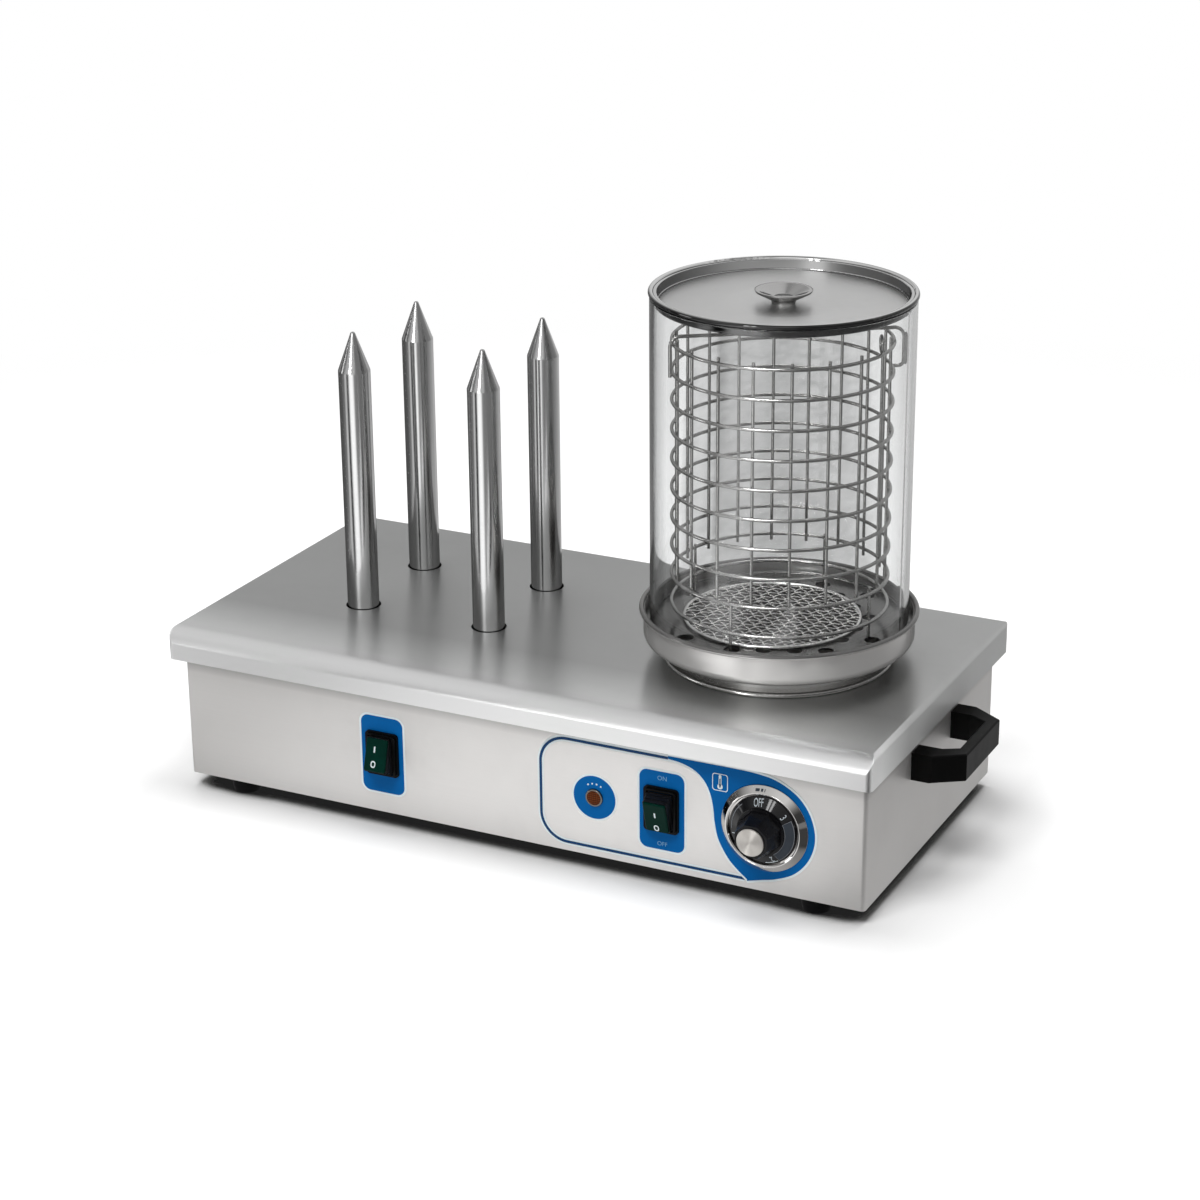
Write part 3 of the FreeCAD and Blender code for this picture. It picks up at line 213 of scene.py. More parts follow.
def lettering(name, text, size, place, turn, middle_y, body, finish, narrow=1.0):
    """Plain words or numbers as a solid mesh, turned in the panel's plane, with its middle at middle_y."""
    curve = bpy.data.curves.new(name + "_line", "FONT")
    curve.body = text
    curve.size = size * MM
    curve.align_x = "CENTER"
    curve.align_y = "CENTER"
    curve.extrude = print_step * MM / 2
    flat = add_object(name + "_line", curve)
    bpy.context.view_layer.update()
    mesh = bpy.data.meshes.new_from_object(flat.evaluated_get(bpy.context.evaluated_depsgraph_get()))
    bpy.data.objects.remove(flat)
    stand = Matrix.Rotation(np.pi / 2, 4, "X")
    spin = Matrix.Rotation(np.radians(turn), 4, "Z")
    slim = Matrix.Diagonal((narrow, 1, 1, 1))
    mesh.transform(Matrix.Translation((place[0] * MM, middle_y * MM, place[1] * MM)) @ stand @ spin @ slim)
    mesh.name = name
    mesh.materials.clear()
    mesh.materials.append(finish)
    piece = add_object(name, mesh)
    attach(piece, body)
    return piece


# Shader values

def shader_group(name, inputs, outputs):
    """A shader node group with named sockets, and its two end nodes."""
    group = bpy.data.node_groups.new(name, "ShaderNodeTree")
    for label, kind, value in inputs:
        socket = group.interface.new_socket(label, in_out="INPUT", socket_type="NodeSocket" + kind)
        if value is not None:
            socket.default_value = value
    for label, kind in outputs:
        group.interface.new_socket(label, in_out="OUTPUT", socket_type="NodeSocket" + kind)
    return group, group.nodes.new("NodeGroupInput"), group.nodes.new("NodeGroupOutput")


def feed(tree, socket, value):
    """Links a socket to an input, or sets the input to a plain value."""
    if isinstance(value, bpy.types.NodeSocket):
        tree.links.new(value, socket)
    else:
        socket.default_value = value


def add_noise(tree, vector, scale, detail=3.0, rough=0.55):
    """A noise node on a vector socket, its scale a number or a socket; gives its 0 to 1 value."""
    noise = tree.nodes.new("ShaderNodeTexNoise")
    noise.inputs["Detail"].default_value = detail
    noise.inputs["Roughness"].default_value = rough
    feed(tree, noise.inputs["Scale"], scale)
    tree.links.new(vector, noise.inputs["Vector"])
    return noise.outputs["Fac"]


def calc(tree, operation, first, second=0.0):
    """A Math node on two values or sockets."""
    node = tree.nodes.new("ShaderNodeMath")
    node.operation = operation
    feed(tree, node.inputs[0], first)
    feed(tree, node.inputs[1], second)
    return node.outputs[0]


def times(tree, *values):
    """The product of several values or sockets."""
    total = values[0]
    for value in values[1:]:
        total = calc(tree, "MULTIPLY", total, value)
    return total


def distance(tree, x, y):
    """The root of x squared plus y squared."""
    return calc(tree, "SQRT", calc(tree, "ADD", times(tree, x, x), times(tree, y, y)))


def vector_calc(tree, operation, first, second=None, second_input=1):
    """A Vector Math node on one or two values or sockets; gives its outputs."""
    node = tree.nodes.new("ShaderNodeVectorMath")
    node.operation = operation
    feed(tree, node.inputs[0], first)
    if second is not None:
        feed(tree, node.inputs[second_input], second)
    return node.outputs


def spread(tree, value, low, high, from_low=0.0, from_high=1.0):
    """A value taken from one range to another, clamped."""
    node = tree.nodes.new("ShaderNodeMapRange")
    for label, number in (("From Min", from_low), ("From Max", from_high), ("To Min", low), ("To Max", high)):
        feed(tree, node.inputs[label], number)
    tree.links.new(value, node.inputs["Value"])
    return node.outputs["Result"]


def rise(tree, value, start, end):
    """0 to 1 while a value goes from start to end."""
    return spread(tree, value, 0.0, 1.0, start, end)


def lay_over(tree, under, patch, level):
    """A value covered by a level where the patch is 1: patch * (level - under) + under."""
    return calc(tree, "ADD", times(tree, patch, calc(tree, "SUBTRACT", level, under)), under)


def shade(colour, factor):
    """A colour made lighter or darker."""
    return tuple(min(channel * factor, 1.0) for channel in colour[:3]) + (1.0,)


def blend_colours(tree, factor, first, second):
    """A colour mixed between two, by a factor."""
    node = tree.nodes.new("ShaderNodeMix")
    node.data_type = "RGBA"
    feed(tree, node.inputs[0], factor)
    feed(tree, node.inputs[6], first)
    feed(tree, node.inputs[7], second)
    return node.outputs[2]


def two_tone(tree, factor, colour, tone):
    """A colour that goes from a darker to a lighter shade of itself, by a factor."""
    return blend_colours(tree, factor, shade(colour, 1 - tone), shade(colour, 1 + tone))


def make_streaks(height_fineness=3.1):
    """Brushed lines: noise on a stretched vector gives the tone, and a finer one gives the height."""
    group, start, end = shader_group(
        "brushed lines", [("Vector", "Vector", None), ("Fineness", "Float", 1.0)],
        [("Tone", "Float"), ("Height", "Float")])
    vector, fineness = start.outputs["Vector"], start.outputs["Fineness"]
    broad = add_noise(group, vector, fineness, detail=4.0, rough=0.6)
    fine = add_noise(group, vector, times(group, fineness, height_fineness), detail=2.0)
    group.links.new(broad, end.inputs["Tone"])
    group.links.new(fine, end.inputs["Height"])
    return group


def make_marks(patch_low=0.42, patch_high=0.68, crumb_fineness=9.0):
    """Handling marks: large soft patches, broken up by finer noise, where the finish is a little duller."""
    group, start, end = shader_group(
        "handling marks", [("Vector", "Vector", None), ("Scale", "Float", 14.0)], [("Mask", "Float")])
    vector, scale = start.outputs["Vector"], start.outputs["Scale"]
    patches = rise(group, add_noise(group, vector, scale), patch_low, patch_high)
    crumbs = add_noise(group, vector, times(group, scale, crumb_fineness), detail=4.0)
    group.links.new(times(group, patches, crumbs), end.inputs["Mask"])
    return group


def make_moulding(noise_fineness=0.4):
    """Moulded grain: the distance to scattered points gives a fine pebble, with noise over it."""
    group, start, end = shader_group(
        "moulded grain", [("Vector", "Vector", None), ("Scale", "Float", 1600.0)], [("Height", "Float")])
    vector, scale = start.outputs["Vector"], start.outputs["Scale"]
    pebble = group.nodes.new("ShaderNodeTexVoronoi")
    group.links.new(scale, pebble.inputs["Scale"])
    group.links.new(vector, pebble.inputs["Vector"])
    noise = add_noise(group, vector, times(group, scale, noise_fineness))
    group.links.new(calc(group, "ADD", pebble.outputs["Distance"], noise), end.inputs["Height"])
    return group


streaks, marks, moulding = make_streaks(), make_marks(), make_moulding()


def place_group(tree, group, vector, **values):
    """Puts a group in a material, fed with a vector and its own values; gives its outputs."""
    node = tree.nodes.new("ShaderNodeGroup")
    node.node_tree = group
    tree.links.new(vector, node.inputs["Vector"])
    for label, value in values.items():
        node.inputs[label].default_value = value
    return node.outputs


def piece_vector(tree, stretch=(1, 1, 1), turn=(0, 0, 0)):
    """Object coordinates, turned and stretched."""
    where = tree.nodes.new("ShaderNodeTexCoord")
    mapping = tree.nodes.new("ShaderNodeMapping")
    mapping.inputs["Rotation"].default_value = turn
    mapping.inputs["Scale"].default_value = stretch
    tree.links.new(where.outputs["Object"], mapping.inputs["Vector"])
    return mapping.outputs["Vector"]


def place_axes(tree):
    """The X, Y and Z of the shaded place, in metres."""
    where = tree.nodes.new("ShaderNodeSeparateXYZ")
    tree.links.new(piece_vector(tree), where.inputs[0])
    return where.outputs


def add_bump(tree, shader, height, depth, strength=1.0):
    """Feeds a height to the shader's normal, as a bump of that depth in metres."""
    bump = tree.nodes.new("ShaderNodeBump")
    bump.inputs["Strength"].default_value = strength
    bump.inputs["Distance"].default_value = depth
    tree.links.new(height, bump.inputs["Height"])
    tree.links.new(bump.outputs["Normal"], shader.inputs["Normal"])


# Finishes

def new_finish(name, **sockets):
    """A material with its Principled shader's plain values set."""
    finish = bpy.data.materials.new(name)
    finish.use_nodes = True
    shader = finish.node_tree.nodes["Principled BSDF"]
    for label, value in sockets.items():
        shader.inputs[label.replace("_", " ")].default_value = value
    return finish, finish.node_tree, shader


worn_share, worn_shade = 0.5, 0.86
noise_low, noise_high = 0.3, 0.7


def steel(name, colour, rough, stretch, tone=0.10, rough_tone=0.10, dull=0.10, depth=2e-6, mark_scale=14.0,
          metallic=1.0, across=None, **sockets):
    """Brushed or drawn metal: streaks along one way change colour, roughness and height; marks dull it."""
    finish, tree, shader = new_finish(name, Metallic=metallic, **sockets)
    if across:
        tangent = tree.nodes.new("ShaderNodeCombineXYZ")
        for socket, value in zip(tangent.inputs, across):
            socket.default_value = value
        tree.links.new(tangent.outputs[0], shader.inputs["Tangent"])
    lines = place_group(tree, streaks, piece_vector(tree, stretch), Fineness=1.0)
    smear = place_group(tree, marks, piece_vector(tree), Scale=mark_scale)["Mask"]
    clean = two_tone(tree, lines["Tone"], colour, tone)
    worn = blend_colours(tree, times(tree, smear, worn_share), clean, shade(colour, worn_shade))
    tree.links.new(worn, shader.inputs["Base Color"])
    grain = spread(tree, lines["Tone"], rough - rough_tone / 2, rough + rough_tone / 2, noise_low, noise_high)
    tree.links.new(calc(tree, "ADD", grain, times(tree, smear, dull)), shader.inputs["Roughness"])
    add_bump(tree, shader, lines["Height"], depth)
    return finish


def paint_light_and_shade(finish, axis, start, end, factor):
    """Paints light or shade into a finish: its colour scaled by a factor from start to end, in millimetres along
    an axis.
    """
    tree = finish.node_tree
    colour = tree.nodes["Principled BSDF"].inputs["Base Color"]
    gain = spread(tree, place_axes(tree)[axis], 1.0, factor, start * MM, end * MM)
    lit = vector_calc(tree, "SCALE", colour.links[0].from_socket, gain, "Scale")
    tree.links.new(lit[0], colour)
    return finish


def soften(finish, axis, start, end, metallic):
    """Lets a metal grow less mirror-like from start to end, in millimetres on either side along an axis."""
    tree = finish.node_tree
    side = calc(tree, "ABSOLUTE", place_axes(tree)[axis])
    level = spread(tree, side, 1.0, metallic, start * MM, end * MM)
    tree.links.new(level, tree.nodes["Principled BSDF"].inputs["Metallic"])
    return finish


# Where the lid's painted shade and painted dark reflection zones start and end, in millimetres.
middle_out, plug_out, edge_out = (-1.0, 1.0), (1.1, 1.3), (5.6, 6.3)
plug_z, wall_z = (385.4, 386.2), (387.4, 388.6)


def lid_painted_zones(finish, centre, reach, rough, dark, painted_wall_grey):
    """Zones of a lid: a duller middle within reach of its axis; past it a painted grey shade on the side, a
    painted dark shade on the plug and a painted dark reflection line at the edge.
    """
    tree = finish.node_tree
    shader = tree.nodes["Principled BSDF"]
    where = place_axes(tree)
    x, y = (calc(tree, "SUBTRACT", where[axis], middle * MM) for axis, middle in zip("XY", centre))
    away = distance(tree, x, y)
    outside, plug, edge = (rise(tree, away, (reach + start) * MM, (reach + end) * MM)
                           for start, end in (middle_out, plug_out, edge_out))
    under_rim, under_dish = (spread(tree, where["Z"], 1.0, 0.0, low * MM, high * MM)
                             for low, high in (plug_z, wall_z))
    plain = shader.inputs["Roughness"].links[0].from_socket
    tree.links.new(lay_over(tree, rough, outside, plain), shader.inputs["Roughness"])
    colour = shader.inputs["Base Color"].links[0].from_socket
    # Painted grey shade on the side below the dish, painted dark reflection at the edge, painted dark shade on the
    # plug.
    zones = ((times(tree, outside, under_dish), painted_wall_grey), (edge, dark), (times(tree, under_rim, plug), dark))
    for zone, grey in zones:
        colour = blend_colours(tree, zone, colour, (grey, grey, grey, 1))
    tree.links.new(colour, shader.inputs["Base Color"])
    return finish


def plastic(name, colour, rough, grain_scale, depth, dull=0.12, **sockets):
    """Moulded plastic or rubber: a fine pebble in the height, and marks that vary its colour and dullness."""
    mark_scale, mark_tone = 60.0, 1.7
    finish, tree, shader = new_finish(name, **sockets)
    vector = piece_vector(tree)
    pebble = place_group(tree, moulding, vector, Scale=grain_scale)
    smear = place_group(tree, marks, vector, Scale=mark_scale)["Mask"]
    marked = blend_colours(tree, smear, shade(colour, 1.0), shade(colour, mark_tone))
    tree.links.new(marked, shader.inputs["Base Color"])
    tree.links.new(calc(tree, "ADD", times(tree, smear, dull), rough), shader.inputs["Roughness"])
    add_bump(tree, shader, pebble["Height"], depth)
    return finish


def ink(name, colour, rough, gloss=0.2):
    """Screen-printed ink: a slightly uneven colour with a faint orange-peel surface."""
    peel_scale, peel_depth, rough_tone, darker, lighter = 420.0, 4e-6, 0.06, 0.93, 1.06
    finish, tree, shader = new_finish(name, Specular_IOR_Level=gloss)
    peel = add_noise(tree, piece_vector(tree), peel_scale)
    uneven = blend_colours(tree, peel, shade(colour, darker), shade(colour, lighter))
    tree.links.new(uneven, shader.inputs["Base Color"])
    tree.links.new(spread(tree, peel, rough - rough_tone, rough + rough_tone), shader.inputs["Roughness"])
    add_bump(tree, shader, peel, peel_depth)
    return finish


def turned_metal(name, colour, rough, centre, axis, anisotropy):
    """Spun metal: rings by the distance to an axis; the tangent runs outwards, so glints fan out."""
    ring_scale, tone, depth = 2600.0, 0.08, 1.5e-6
    finish, tree, shader = new_finish(name, Metallic=1.0, Roughness=rough, Anisotropic=anisotropy)
    where = tree.nodes.new("ShaderNodeTexCoord")
    centred = vector_calc(tree, "SUBTRACT", where.outputs["Object"], [c * MM for c in centre])[0]
    outward = vector_calc(tree, "MULTIPLY", centred, (1, 1, 0) if axis == "Z" else (1, 0, 1))[0]
    ring = tree.nodes.new("ShaderNodeTexNoise")
    ring.noise_dimensions = "1D"
    ring.inputs["Scale"].default_value = ring_scale
    ring.inputs["Detail"].default_value = 4.0
    tree.links.new(vector_calc(tree, "LENGTH", outward)["Value"], ring.inputs["W"])
    tree.links.new(two_tone(tree, ring.outputs["Fac"], colour, tone), shader.inputs["Base Color"])
    add_bump(tree, shader, ring.outputs["Fac"], depth)
    turned = tree.nodes.new("ShaderNodeVectorTransform")
    turned.vector_type = "VECTOR"
    turned.convert_from, turned.convert_to = "OBJECT", "WORLD"
    tree.links.new(outward, turned.inputs[0])
    tree.links.new(turned.outputs[0], shader.inputs["Tangent"])
    return finish


def clear_glass():
    """Clear borosilicate: faint upright waves in its surface, and a very slight grey."""
    wave_stretch, wave_scale, wave_depth, wave_strength = (1, 1, 0.4), 38.0, 6e-5, 0.5
    finish, tree, shader = new_finish(
        "clear glass", Roughness=0.0, IOR=1.47, Transmission_Weight=1.0, Base_Color=(0.955, 0.96, 0.96, 1.0))
    waves = add_noise(tree, piece_vector(tree, wave_stretch), wave_scale, detail=2.0)
    add_bump(tree, shader, waves, wave_depth, wave_strength)
    return finish


def tinted_lens(name, colour, deep, rough):
    """A tinted window with a fine crosshatch moulded behind it, seen as a darker net of lines."""
    cell, line, line_softness, second_shade = 0.0015, 0.00028, 0.6, 1.15
    net_depth, net_strength = -6e-5, 0.4
    finish, tree, shader = new_finish(
        name, Roughness=rough, Coat_Weight=0.03, Coat_Roughness=0.08, Specular_IOR_Level=0.05)
    net = tree.nodes.new("ShaderNodeTexBrick")
    net.offset = 0.0
    values = {"Scale": 1.0, "Brick Width": cell, "Row Height": cell, "Mortar Size": line,
              "Mortar Smooth": line_softness, "Mortar": shade(deep, 1.0),
              "Color1": shade(colour, 1.0), "Color2": shade(colour, second_shade)}
    for label, value in values.items():
        net.inputs[label].default_value = value
    tree.links.new(piece_vector(tree, turn=(-np.pi / 2, 0, 0)), net.inputs["Vector"])
    tree.links.new(net.outputs["Color"], shader.inputs["Base Color"])
    add_bump(tree, shader, net.outputs["Fac"], net_depth, net_strength)
    return finish


along_x, along_z, all_ways = (6, 900, 900), (700, 700, 5), (260, 260, 260)
near_black = (0.003, 0.003, 0.004)
finishes = {
    # Casing sheet with painted shade: darker towards the top, down to 0.60 of its tone at 100.5 mm, under the
    # cover's skirt.
    "casing_steel": paint_light_and_shade(
        steel("casing sheet", (0.80, 0.785, 0.77), 0.46, along_x, tone=0.03, rough_tone=0.06, dull=0.05,
              depth=1e-6, metallic=0.75),
        "Z", 91.0, 100.5, 0.60),
    # Cover sheet with painted light: lighter towards the front bend, up to 1.64 of its tone at y -110 mm; and less
    # metallic at its sides.
    "cover_steel": soften(paint_light_and_shade(
        steel("cover sheet", (0.62, 0.625, 0.62), 0.31, along_x, tone=0.03, rough_tone=0.05, dull=0.04,
              depth=1e-6, mark_scale=9.0, across=(0.08, 1, 0), Anisotropic=0.85),
        "Y", -58.0, -110.0, 1.64), "X", 268.8, 270.2, 0.25),
    # Pan steel with a painted dark reflection: 0.22 of its tone from 162.7 mm up, on the rim.
    "satin_steel": paint_light_and_shade(
        steel("satin pan", (0.88, 0.865, 0.85), 0.24, (8, 8, 500), tone=0.01, rough_tone=0.02, dull=0.03,
              depth=1e-7, metallic=0.64),
        "Z", 162.0, 162.7, 0.22),
    "spike_steel": steel(
        "drawn spike", (0.64, 0.64, 0.64), 0.15, along_z, tone=0.06, rough_tone=0.08, dull=0.05, depth=1.5e-6,
        mark_scale=40.0),
    # Lid with painted zones: grey painted shade on its side past reach, dark painted shade on the plug and a
    # painted dark reflection line at the edge.
    "polished_steel": lid_painted_zones(
        steel("polished lid", (0.84, 0.84, 0.835), 0.06, (60, 60, 60), tone=0.02, rough_tone=0.02, dull=0.05,
              depth=4e-7),
        (steamer_x, steamer_y), reach=84.0, rough=0.38, dark=0.08, painted_wall_grey=0.55),
    "wire_steel": steel(
        "drawn wire", (0.50, 0.495, 0.485), 0.11, all_ways, tone=0.08, rough_tone=0.06, depth=3e-7,
        mark_scale=60.0),
    "inner_steel": steel("inner sheet", (0.60, 0.60, 0.60), 0.40, along_x, tone=0.06),
    "heater_steel": steel(
        "annealed heater", (0.40, 0.37, 0.34), 0.45, all_ways, tone=0.25, rough_tone=0.15, dull=0.20),
    "fastener_steel": steel("plated screw", (0.66, 0.66, 0.65), 0.28, all_ways, tone=0.08, dull=0.15),
    "copper": steel("drawn copper", (0.72, 0.42, 0.28), 0.32, all_ways, rough_tone=0.12, dull=0.20),
    "bright_chrome": steel(
        "bright plating", (0.68, 0.665, 0.65), 0.07, all_ways, tone=0.02, rough_tone=0.03, depth=5e-7,
        mark_scale=40.0),
    "cap_aluminium": turned_metal(
        "spun cap", (0.74, 0.71, 0.67), 0.50, (dial_x, 0, dial_z), "Y", anisotropy=0.95),
    "black_plastic": plastic(
        "black plastic", (0.003, 0.003, 0.003), 0.30, grain_scale=1500.0, depth=1e-5,
        Specular_IOR_Level=0.09),
    "black_gloss": plastic(
        "gloss black", near_black, 0.10, grain_scale=900.0, depth=1e-6, dull=0.05, Specular_IOR_Level=0.3),
    "inner_plastic": plastic("inner plastic", (0.05, 0.05, 0.055), 0.50, grain_scale=1500.0, depth=2.5e-5),
    "black_rubber_boot": plastic(
        "rubber boot", (0.005, 0.005, 0.006), 0.40, grain_scale=1300.0, depth=1.5e-5, Specular_IOR_Level=0.2),
    "foot_rubber": plastic(
        "foot rubber", (0.003, 0.003, 0.0035), 0.60, grain_scale=1100.0, depth=4e-5, Specular_IOR_Level=0.1),
    "green_window": plastic(
        "green window", (0.0003, 0.021, 0.014), 0.22, grain_scale=700.0, depth=3e-6, dull=0.10,
        Coat_Weight=0.03, Coat_Roughness=0.06, Specular_IOR_Level=0.04),
    "amber_lens": tinted_lens("amber lens", (0.17, 0.040, 0.007), (0.020, 0.006, 0.003), 0.25),
    "clear_glass": clear_glass(),
}
white_ink = ink("white ink", (0.86, 0.95, 1.0), 0.5)
blue_ink = ink("blue ink", (0.0, 0.128, 0.42), 0.45, gloss=0.06)
dial_ink = ink("pale dial ink", (0.60, 0.66, 0.70), 0.5)
faint_ink = ink("faint blue ink", (0.20, 0.42, 0.62), 0.5)
line_ink = ink("dark blue line", (0.002, 0.05, 0.16), 0.45)
grey_ink = ink("grey scale ink", (0.20, 0.21, 0.23), 0.4)
slate_ink = ink("slate scale ink", (0.045, 0.055, 0.07), 0.4)

own_finishes = {
    "lid_knob": turned_metal(
        "spun knob", (0.58, 0.575, 0.57), 0.16, (steamer_x, steamer_y, 0), "Z", anisotropy=0.5),
    "pilot_lamp_body": steel(
        "dark plating", (0.16, 0.15, 0.14), 0.10, all_ways, tone=0.02, rough_tone=0.03, depth=5e-7,
        mark_scale=40.0),
    "knob_grip": plastic(
        "grip plastic", near_black, 0.26, grain_scale=900.0, depth=2e-6, dull=0.05, Specular_IOR_Level=0.22),
    "dial_skirt": plastic(
        "dial plastic", near_black, 0.06, grain_scale=900.0, depth=1e-6, dull=0.05, Specular_IOR_Level=0.5),
    # Plate steel: a dark grey, partly the plate's own tone and partly painted shade under the woven disc.
    "perforated_plate": steel(
        "plate sheet", (0.20, 0.197, 0.193), 0.18, all_ways, tone=0.06, rough_tone=0.06, depth=5e-7),
    # Collar steel darker all over: painted shade under the pan's overhang.
    "boiler_collar": steel(
        "painted shade collar", (0.50, 0.495, 0.485), 0.22, along_x, tone=0.06, rough_tone=0.06, depth=5e-7),
}

for part in frame["record"]["subparts"]:
    shown = nodes[part["node"]]
    shown.data.materials.clear()
    shown.data.materials.append(own_finishes.get(part["node"], finishes[part["material_slot"]]))


# Prints on the front panel

blue_edge, plate_size, plate_corner = 1.5, np.array([33.5, 58.0]), 6.0


def switch_plate(name, centre):
    """A blue plate with round corners on a white film a little larger."""
    edge = rounded_sides(centre, plate_size + 2 * blue_edge, plate_corner + blue_edge)
    film(name + "_edge", *edge, 1, "chassis", white_ink)
    film(name, *rounded_sides(centre, plate_size, plate_corner), 2, "chassis", blue_ink)


switch_plate("left_switch_plate", (-101.2, 55.3))
switch_plate("right_switch_plate", (116.3, 55.3))

lamp_centre, lamp_disc, lamp_hole, lamp_edge = (65.5, 55.3), 15.9, 6.0, 1.3
tick_in, tick_out, tick_half = 9.6, 10.7, 3.4
circle_points, corner_points, tick_points, outline_points, field_points = 65, 24, 5, 260, 120


def disc_print(name, radius, layer, finish):
    """A printed disc round the pilot lamp, with a hole for it."""
    edges = (arc(lamp_centre, reach, 0, 360, circle_points)[:-1] for reach in (radius, lamp_hole))
    film(name, *edges, layer, "chassis", finish, closed=True)


disc_print("lamp_disc_edge", lamp_disc + lamp_edge, 1, white_ink)
disc_print("lamp_disc", lamp_disc, 2, blue_ink)
for number, angle in enumerate((118, 99, 80, 61)):
    ends = (angle + tick_half, angle - tick_half)
    edges = (arc(lamp_centre, reach, *ends, tick_points) for reach in (tick_in, tick_out))
    film(f"lamp_tick_{number}", *edges, 3, "chassis", white_ink)

outline_left, outline_top, outline_bottom, outline_corner = 24.4, 95.2, 17.6, 20.0
outline_start, outline_end, outline_white, outline_dark = 128.0, 177.5, 2.3, 1.0
corner_x = outline_left + outline_corner
outline = even_line(np.vstack([
    [[outline_start, outline_top]],
    arc((corner_x, outline_top - outline_corner), outline_corner, 90, 180, corner_points),
    arc((corner_x, outline_bottom + outline_corner), outline_corner, 180, 270, corner_points),
    [[outline_end, outline_bottom]]]), outline_points)
for name, half, layer, finish in (("outline_edge", outline_white, 1, white_ink),
                                  ("outline_line", outline_dark, 2, line_ink)):
    film(name, offset_line(outline, half), offset_line(outline, -half), layer, "chassis", finish)

inner_edge = smooth_line([
    (121.0, 94.9), (131.0, 93.6), (140.5, 90.2), (147.8, 83.7), (152.2, 75.0), (154.4, 65.0), (155.5, 55.0),
    (158.3, 43.0), (165.2, 30.8), (172.5, 23.2), (179.5, 17.6)], field_points)
outer_edge = smooth_line([
    (121.0, 96.9), (145.0, 97.0), (170.0, 97.0), (186.0, 96.4), (200.0, 93.9), (214.0, 86.5), (223.0, 76.0),
    (227.6, 63.0), (227.4, 50.5), (222.3, 38.0), (213.0, 28.0), (200.5, 22.0), (190.0, 19.2),
    (179.5, 16.4)], field_points)
film("dial_field_edge", offset_line(inner_edge, -blue_edge), offset_line(outer_edge, blue_edge), 3, "chassis",
     white_ink)
film("dial_field", inner_edge, outer_edge, 4, "chassis", blue_ink)

icon_x, icon_z, icon_size, icon_line = 159.3, 85.0, np.array([11.4, 12.6]), 1.1
rings = []
for size, corner in ((icon_size, 2.0), (icon_size - icon_line, 1.6)):
    left, right = rounded_sides((icon_x, icon_z), size, corner)
    rings.append(np.vstack([left, right[::-1]]))
film("icon_frame", *rings, 5, "chassis", white_ink, closed=True)
for name, z, size, corner, layer, finish in (
        ("icon_stem", 86.4, (2.0, 8.0), 0.95, 5, white_ink),
        ("icon_bulb", 81.9, (3.9, 3.9), 1.93, 5, white_ink),
        ("icon_mercury", 84.6, (0.8, 6.6), 0.38, 6, line_ink)):
    film(name, *rounded_sides((icon_x, z), size, corner), layer, "chassis", finish)

word_lift = 0.27
word_y = panel_y - word_lift
lettering("plate_word_on", "ON", 4.6, (116.6, 79.3), 0, word_y, "chassis", faint_ink)
lettering("plate_word_off", "OFF", 4.4, (116.6, 30.6), 0, word_y, "chassis", faint_ink)


# Prints on the dial and its bezel, bent onto their cones

def on_cone(start, slope):
    """Bends a print round the dial's axis: y rises by slope times the distance past the cone's start."""
    return lambda x, y, z: y + slope * np.maximum(np.hypot(x - dial_x, z - dial_z) - start, 0)


skirt_cone, bezel_cone = on_cone(17.3, 0.5), on_cone(27.0, 0.786)
bezel_y, bezel_mark_out, bezel_mark_in = -121.43, 29.6, 28.0
letter_lift, dial_arc_points, bezel_mark_points = 0.05, 49, 7


def dial_letter(name, text, size, reach, angle, narrow):
    """A word or number that stands outwards on the skirt, at a distance and an angle from its axis."""
    spot = (dial_x + reach * np.cos(np.radians(angle)), dial_z + reach * np.sin(np.radians(angle)))
    word = lettering(name, text, size, spot, angle - 90, skirt_y - letter_lift, "thermostat_knob", dial_ink,
                     narrow=narrow)
    reshape(word, skirt_cone)


def dial_arc(name, outer, inner, start, end, finish, layer=1):
    """A printed arc on the skirt, between two radii and two angles."""
    edges = (arc((dial_x, dial_z), reach, start, end, dial_arc_points) for reach in (outer, inner))
    reshape(film(name, *edges, layer, "thermostat_knob", finish, base_y=skirt_y), skirt_cone)


dial_letter("dial_word_off", "OFF", 7.4, 20.3, 97, 0.56)
dial_letter("dial_number_three", "3", 6.2, 19.9, 40, 0.8)
dial_letter("dial_number_two", "2", 6.2, 20.3, -68, 0.8)
dial_letter("dial_number_one", "1", 6.2, 20.3, -165, 0.8)
dial_arc("dial_band_edge", 23.2, 17.2, 28, -58, grey_ink)
dial_arc("dial_band", 22.8, 17.6, 27, -57, slate_ink, 2)
dial_arc("dial_thin_line", 22.5, 21.9, 186, 132, grey_ink)
dial_arc("dial_low_line", 23.3, 22.8, -60, -84, white_ink)

for number, (start, end) in enumerate(((101.5, 95.5), (93.5, 90.5), (88.5, 87.5))):
    edges = (arc((dial_x, dial_z), reach, start, end, bezel_mark_points)
             for reach in (bezel_mark_out, bezel_mark_in))
    reshape(film(f"bezel_mark_{number}", *edges, 1, "chassis", slate_ink, base_y=bezel_y), bezel_cone)


# Marks on the tilted windows of the switches

bar_size, bar_corner, ring_outer, ring_inner, ring_flat = (1.1, 4.2), 0.5, (3.8, 4.7), (2.2, 3.0), 0.1


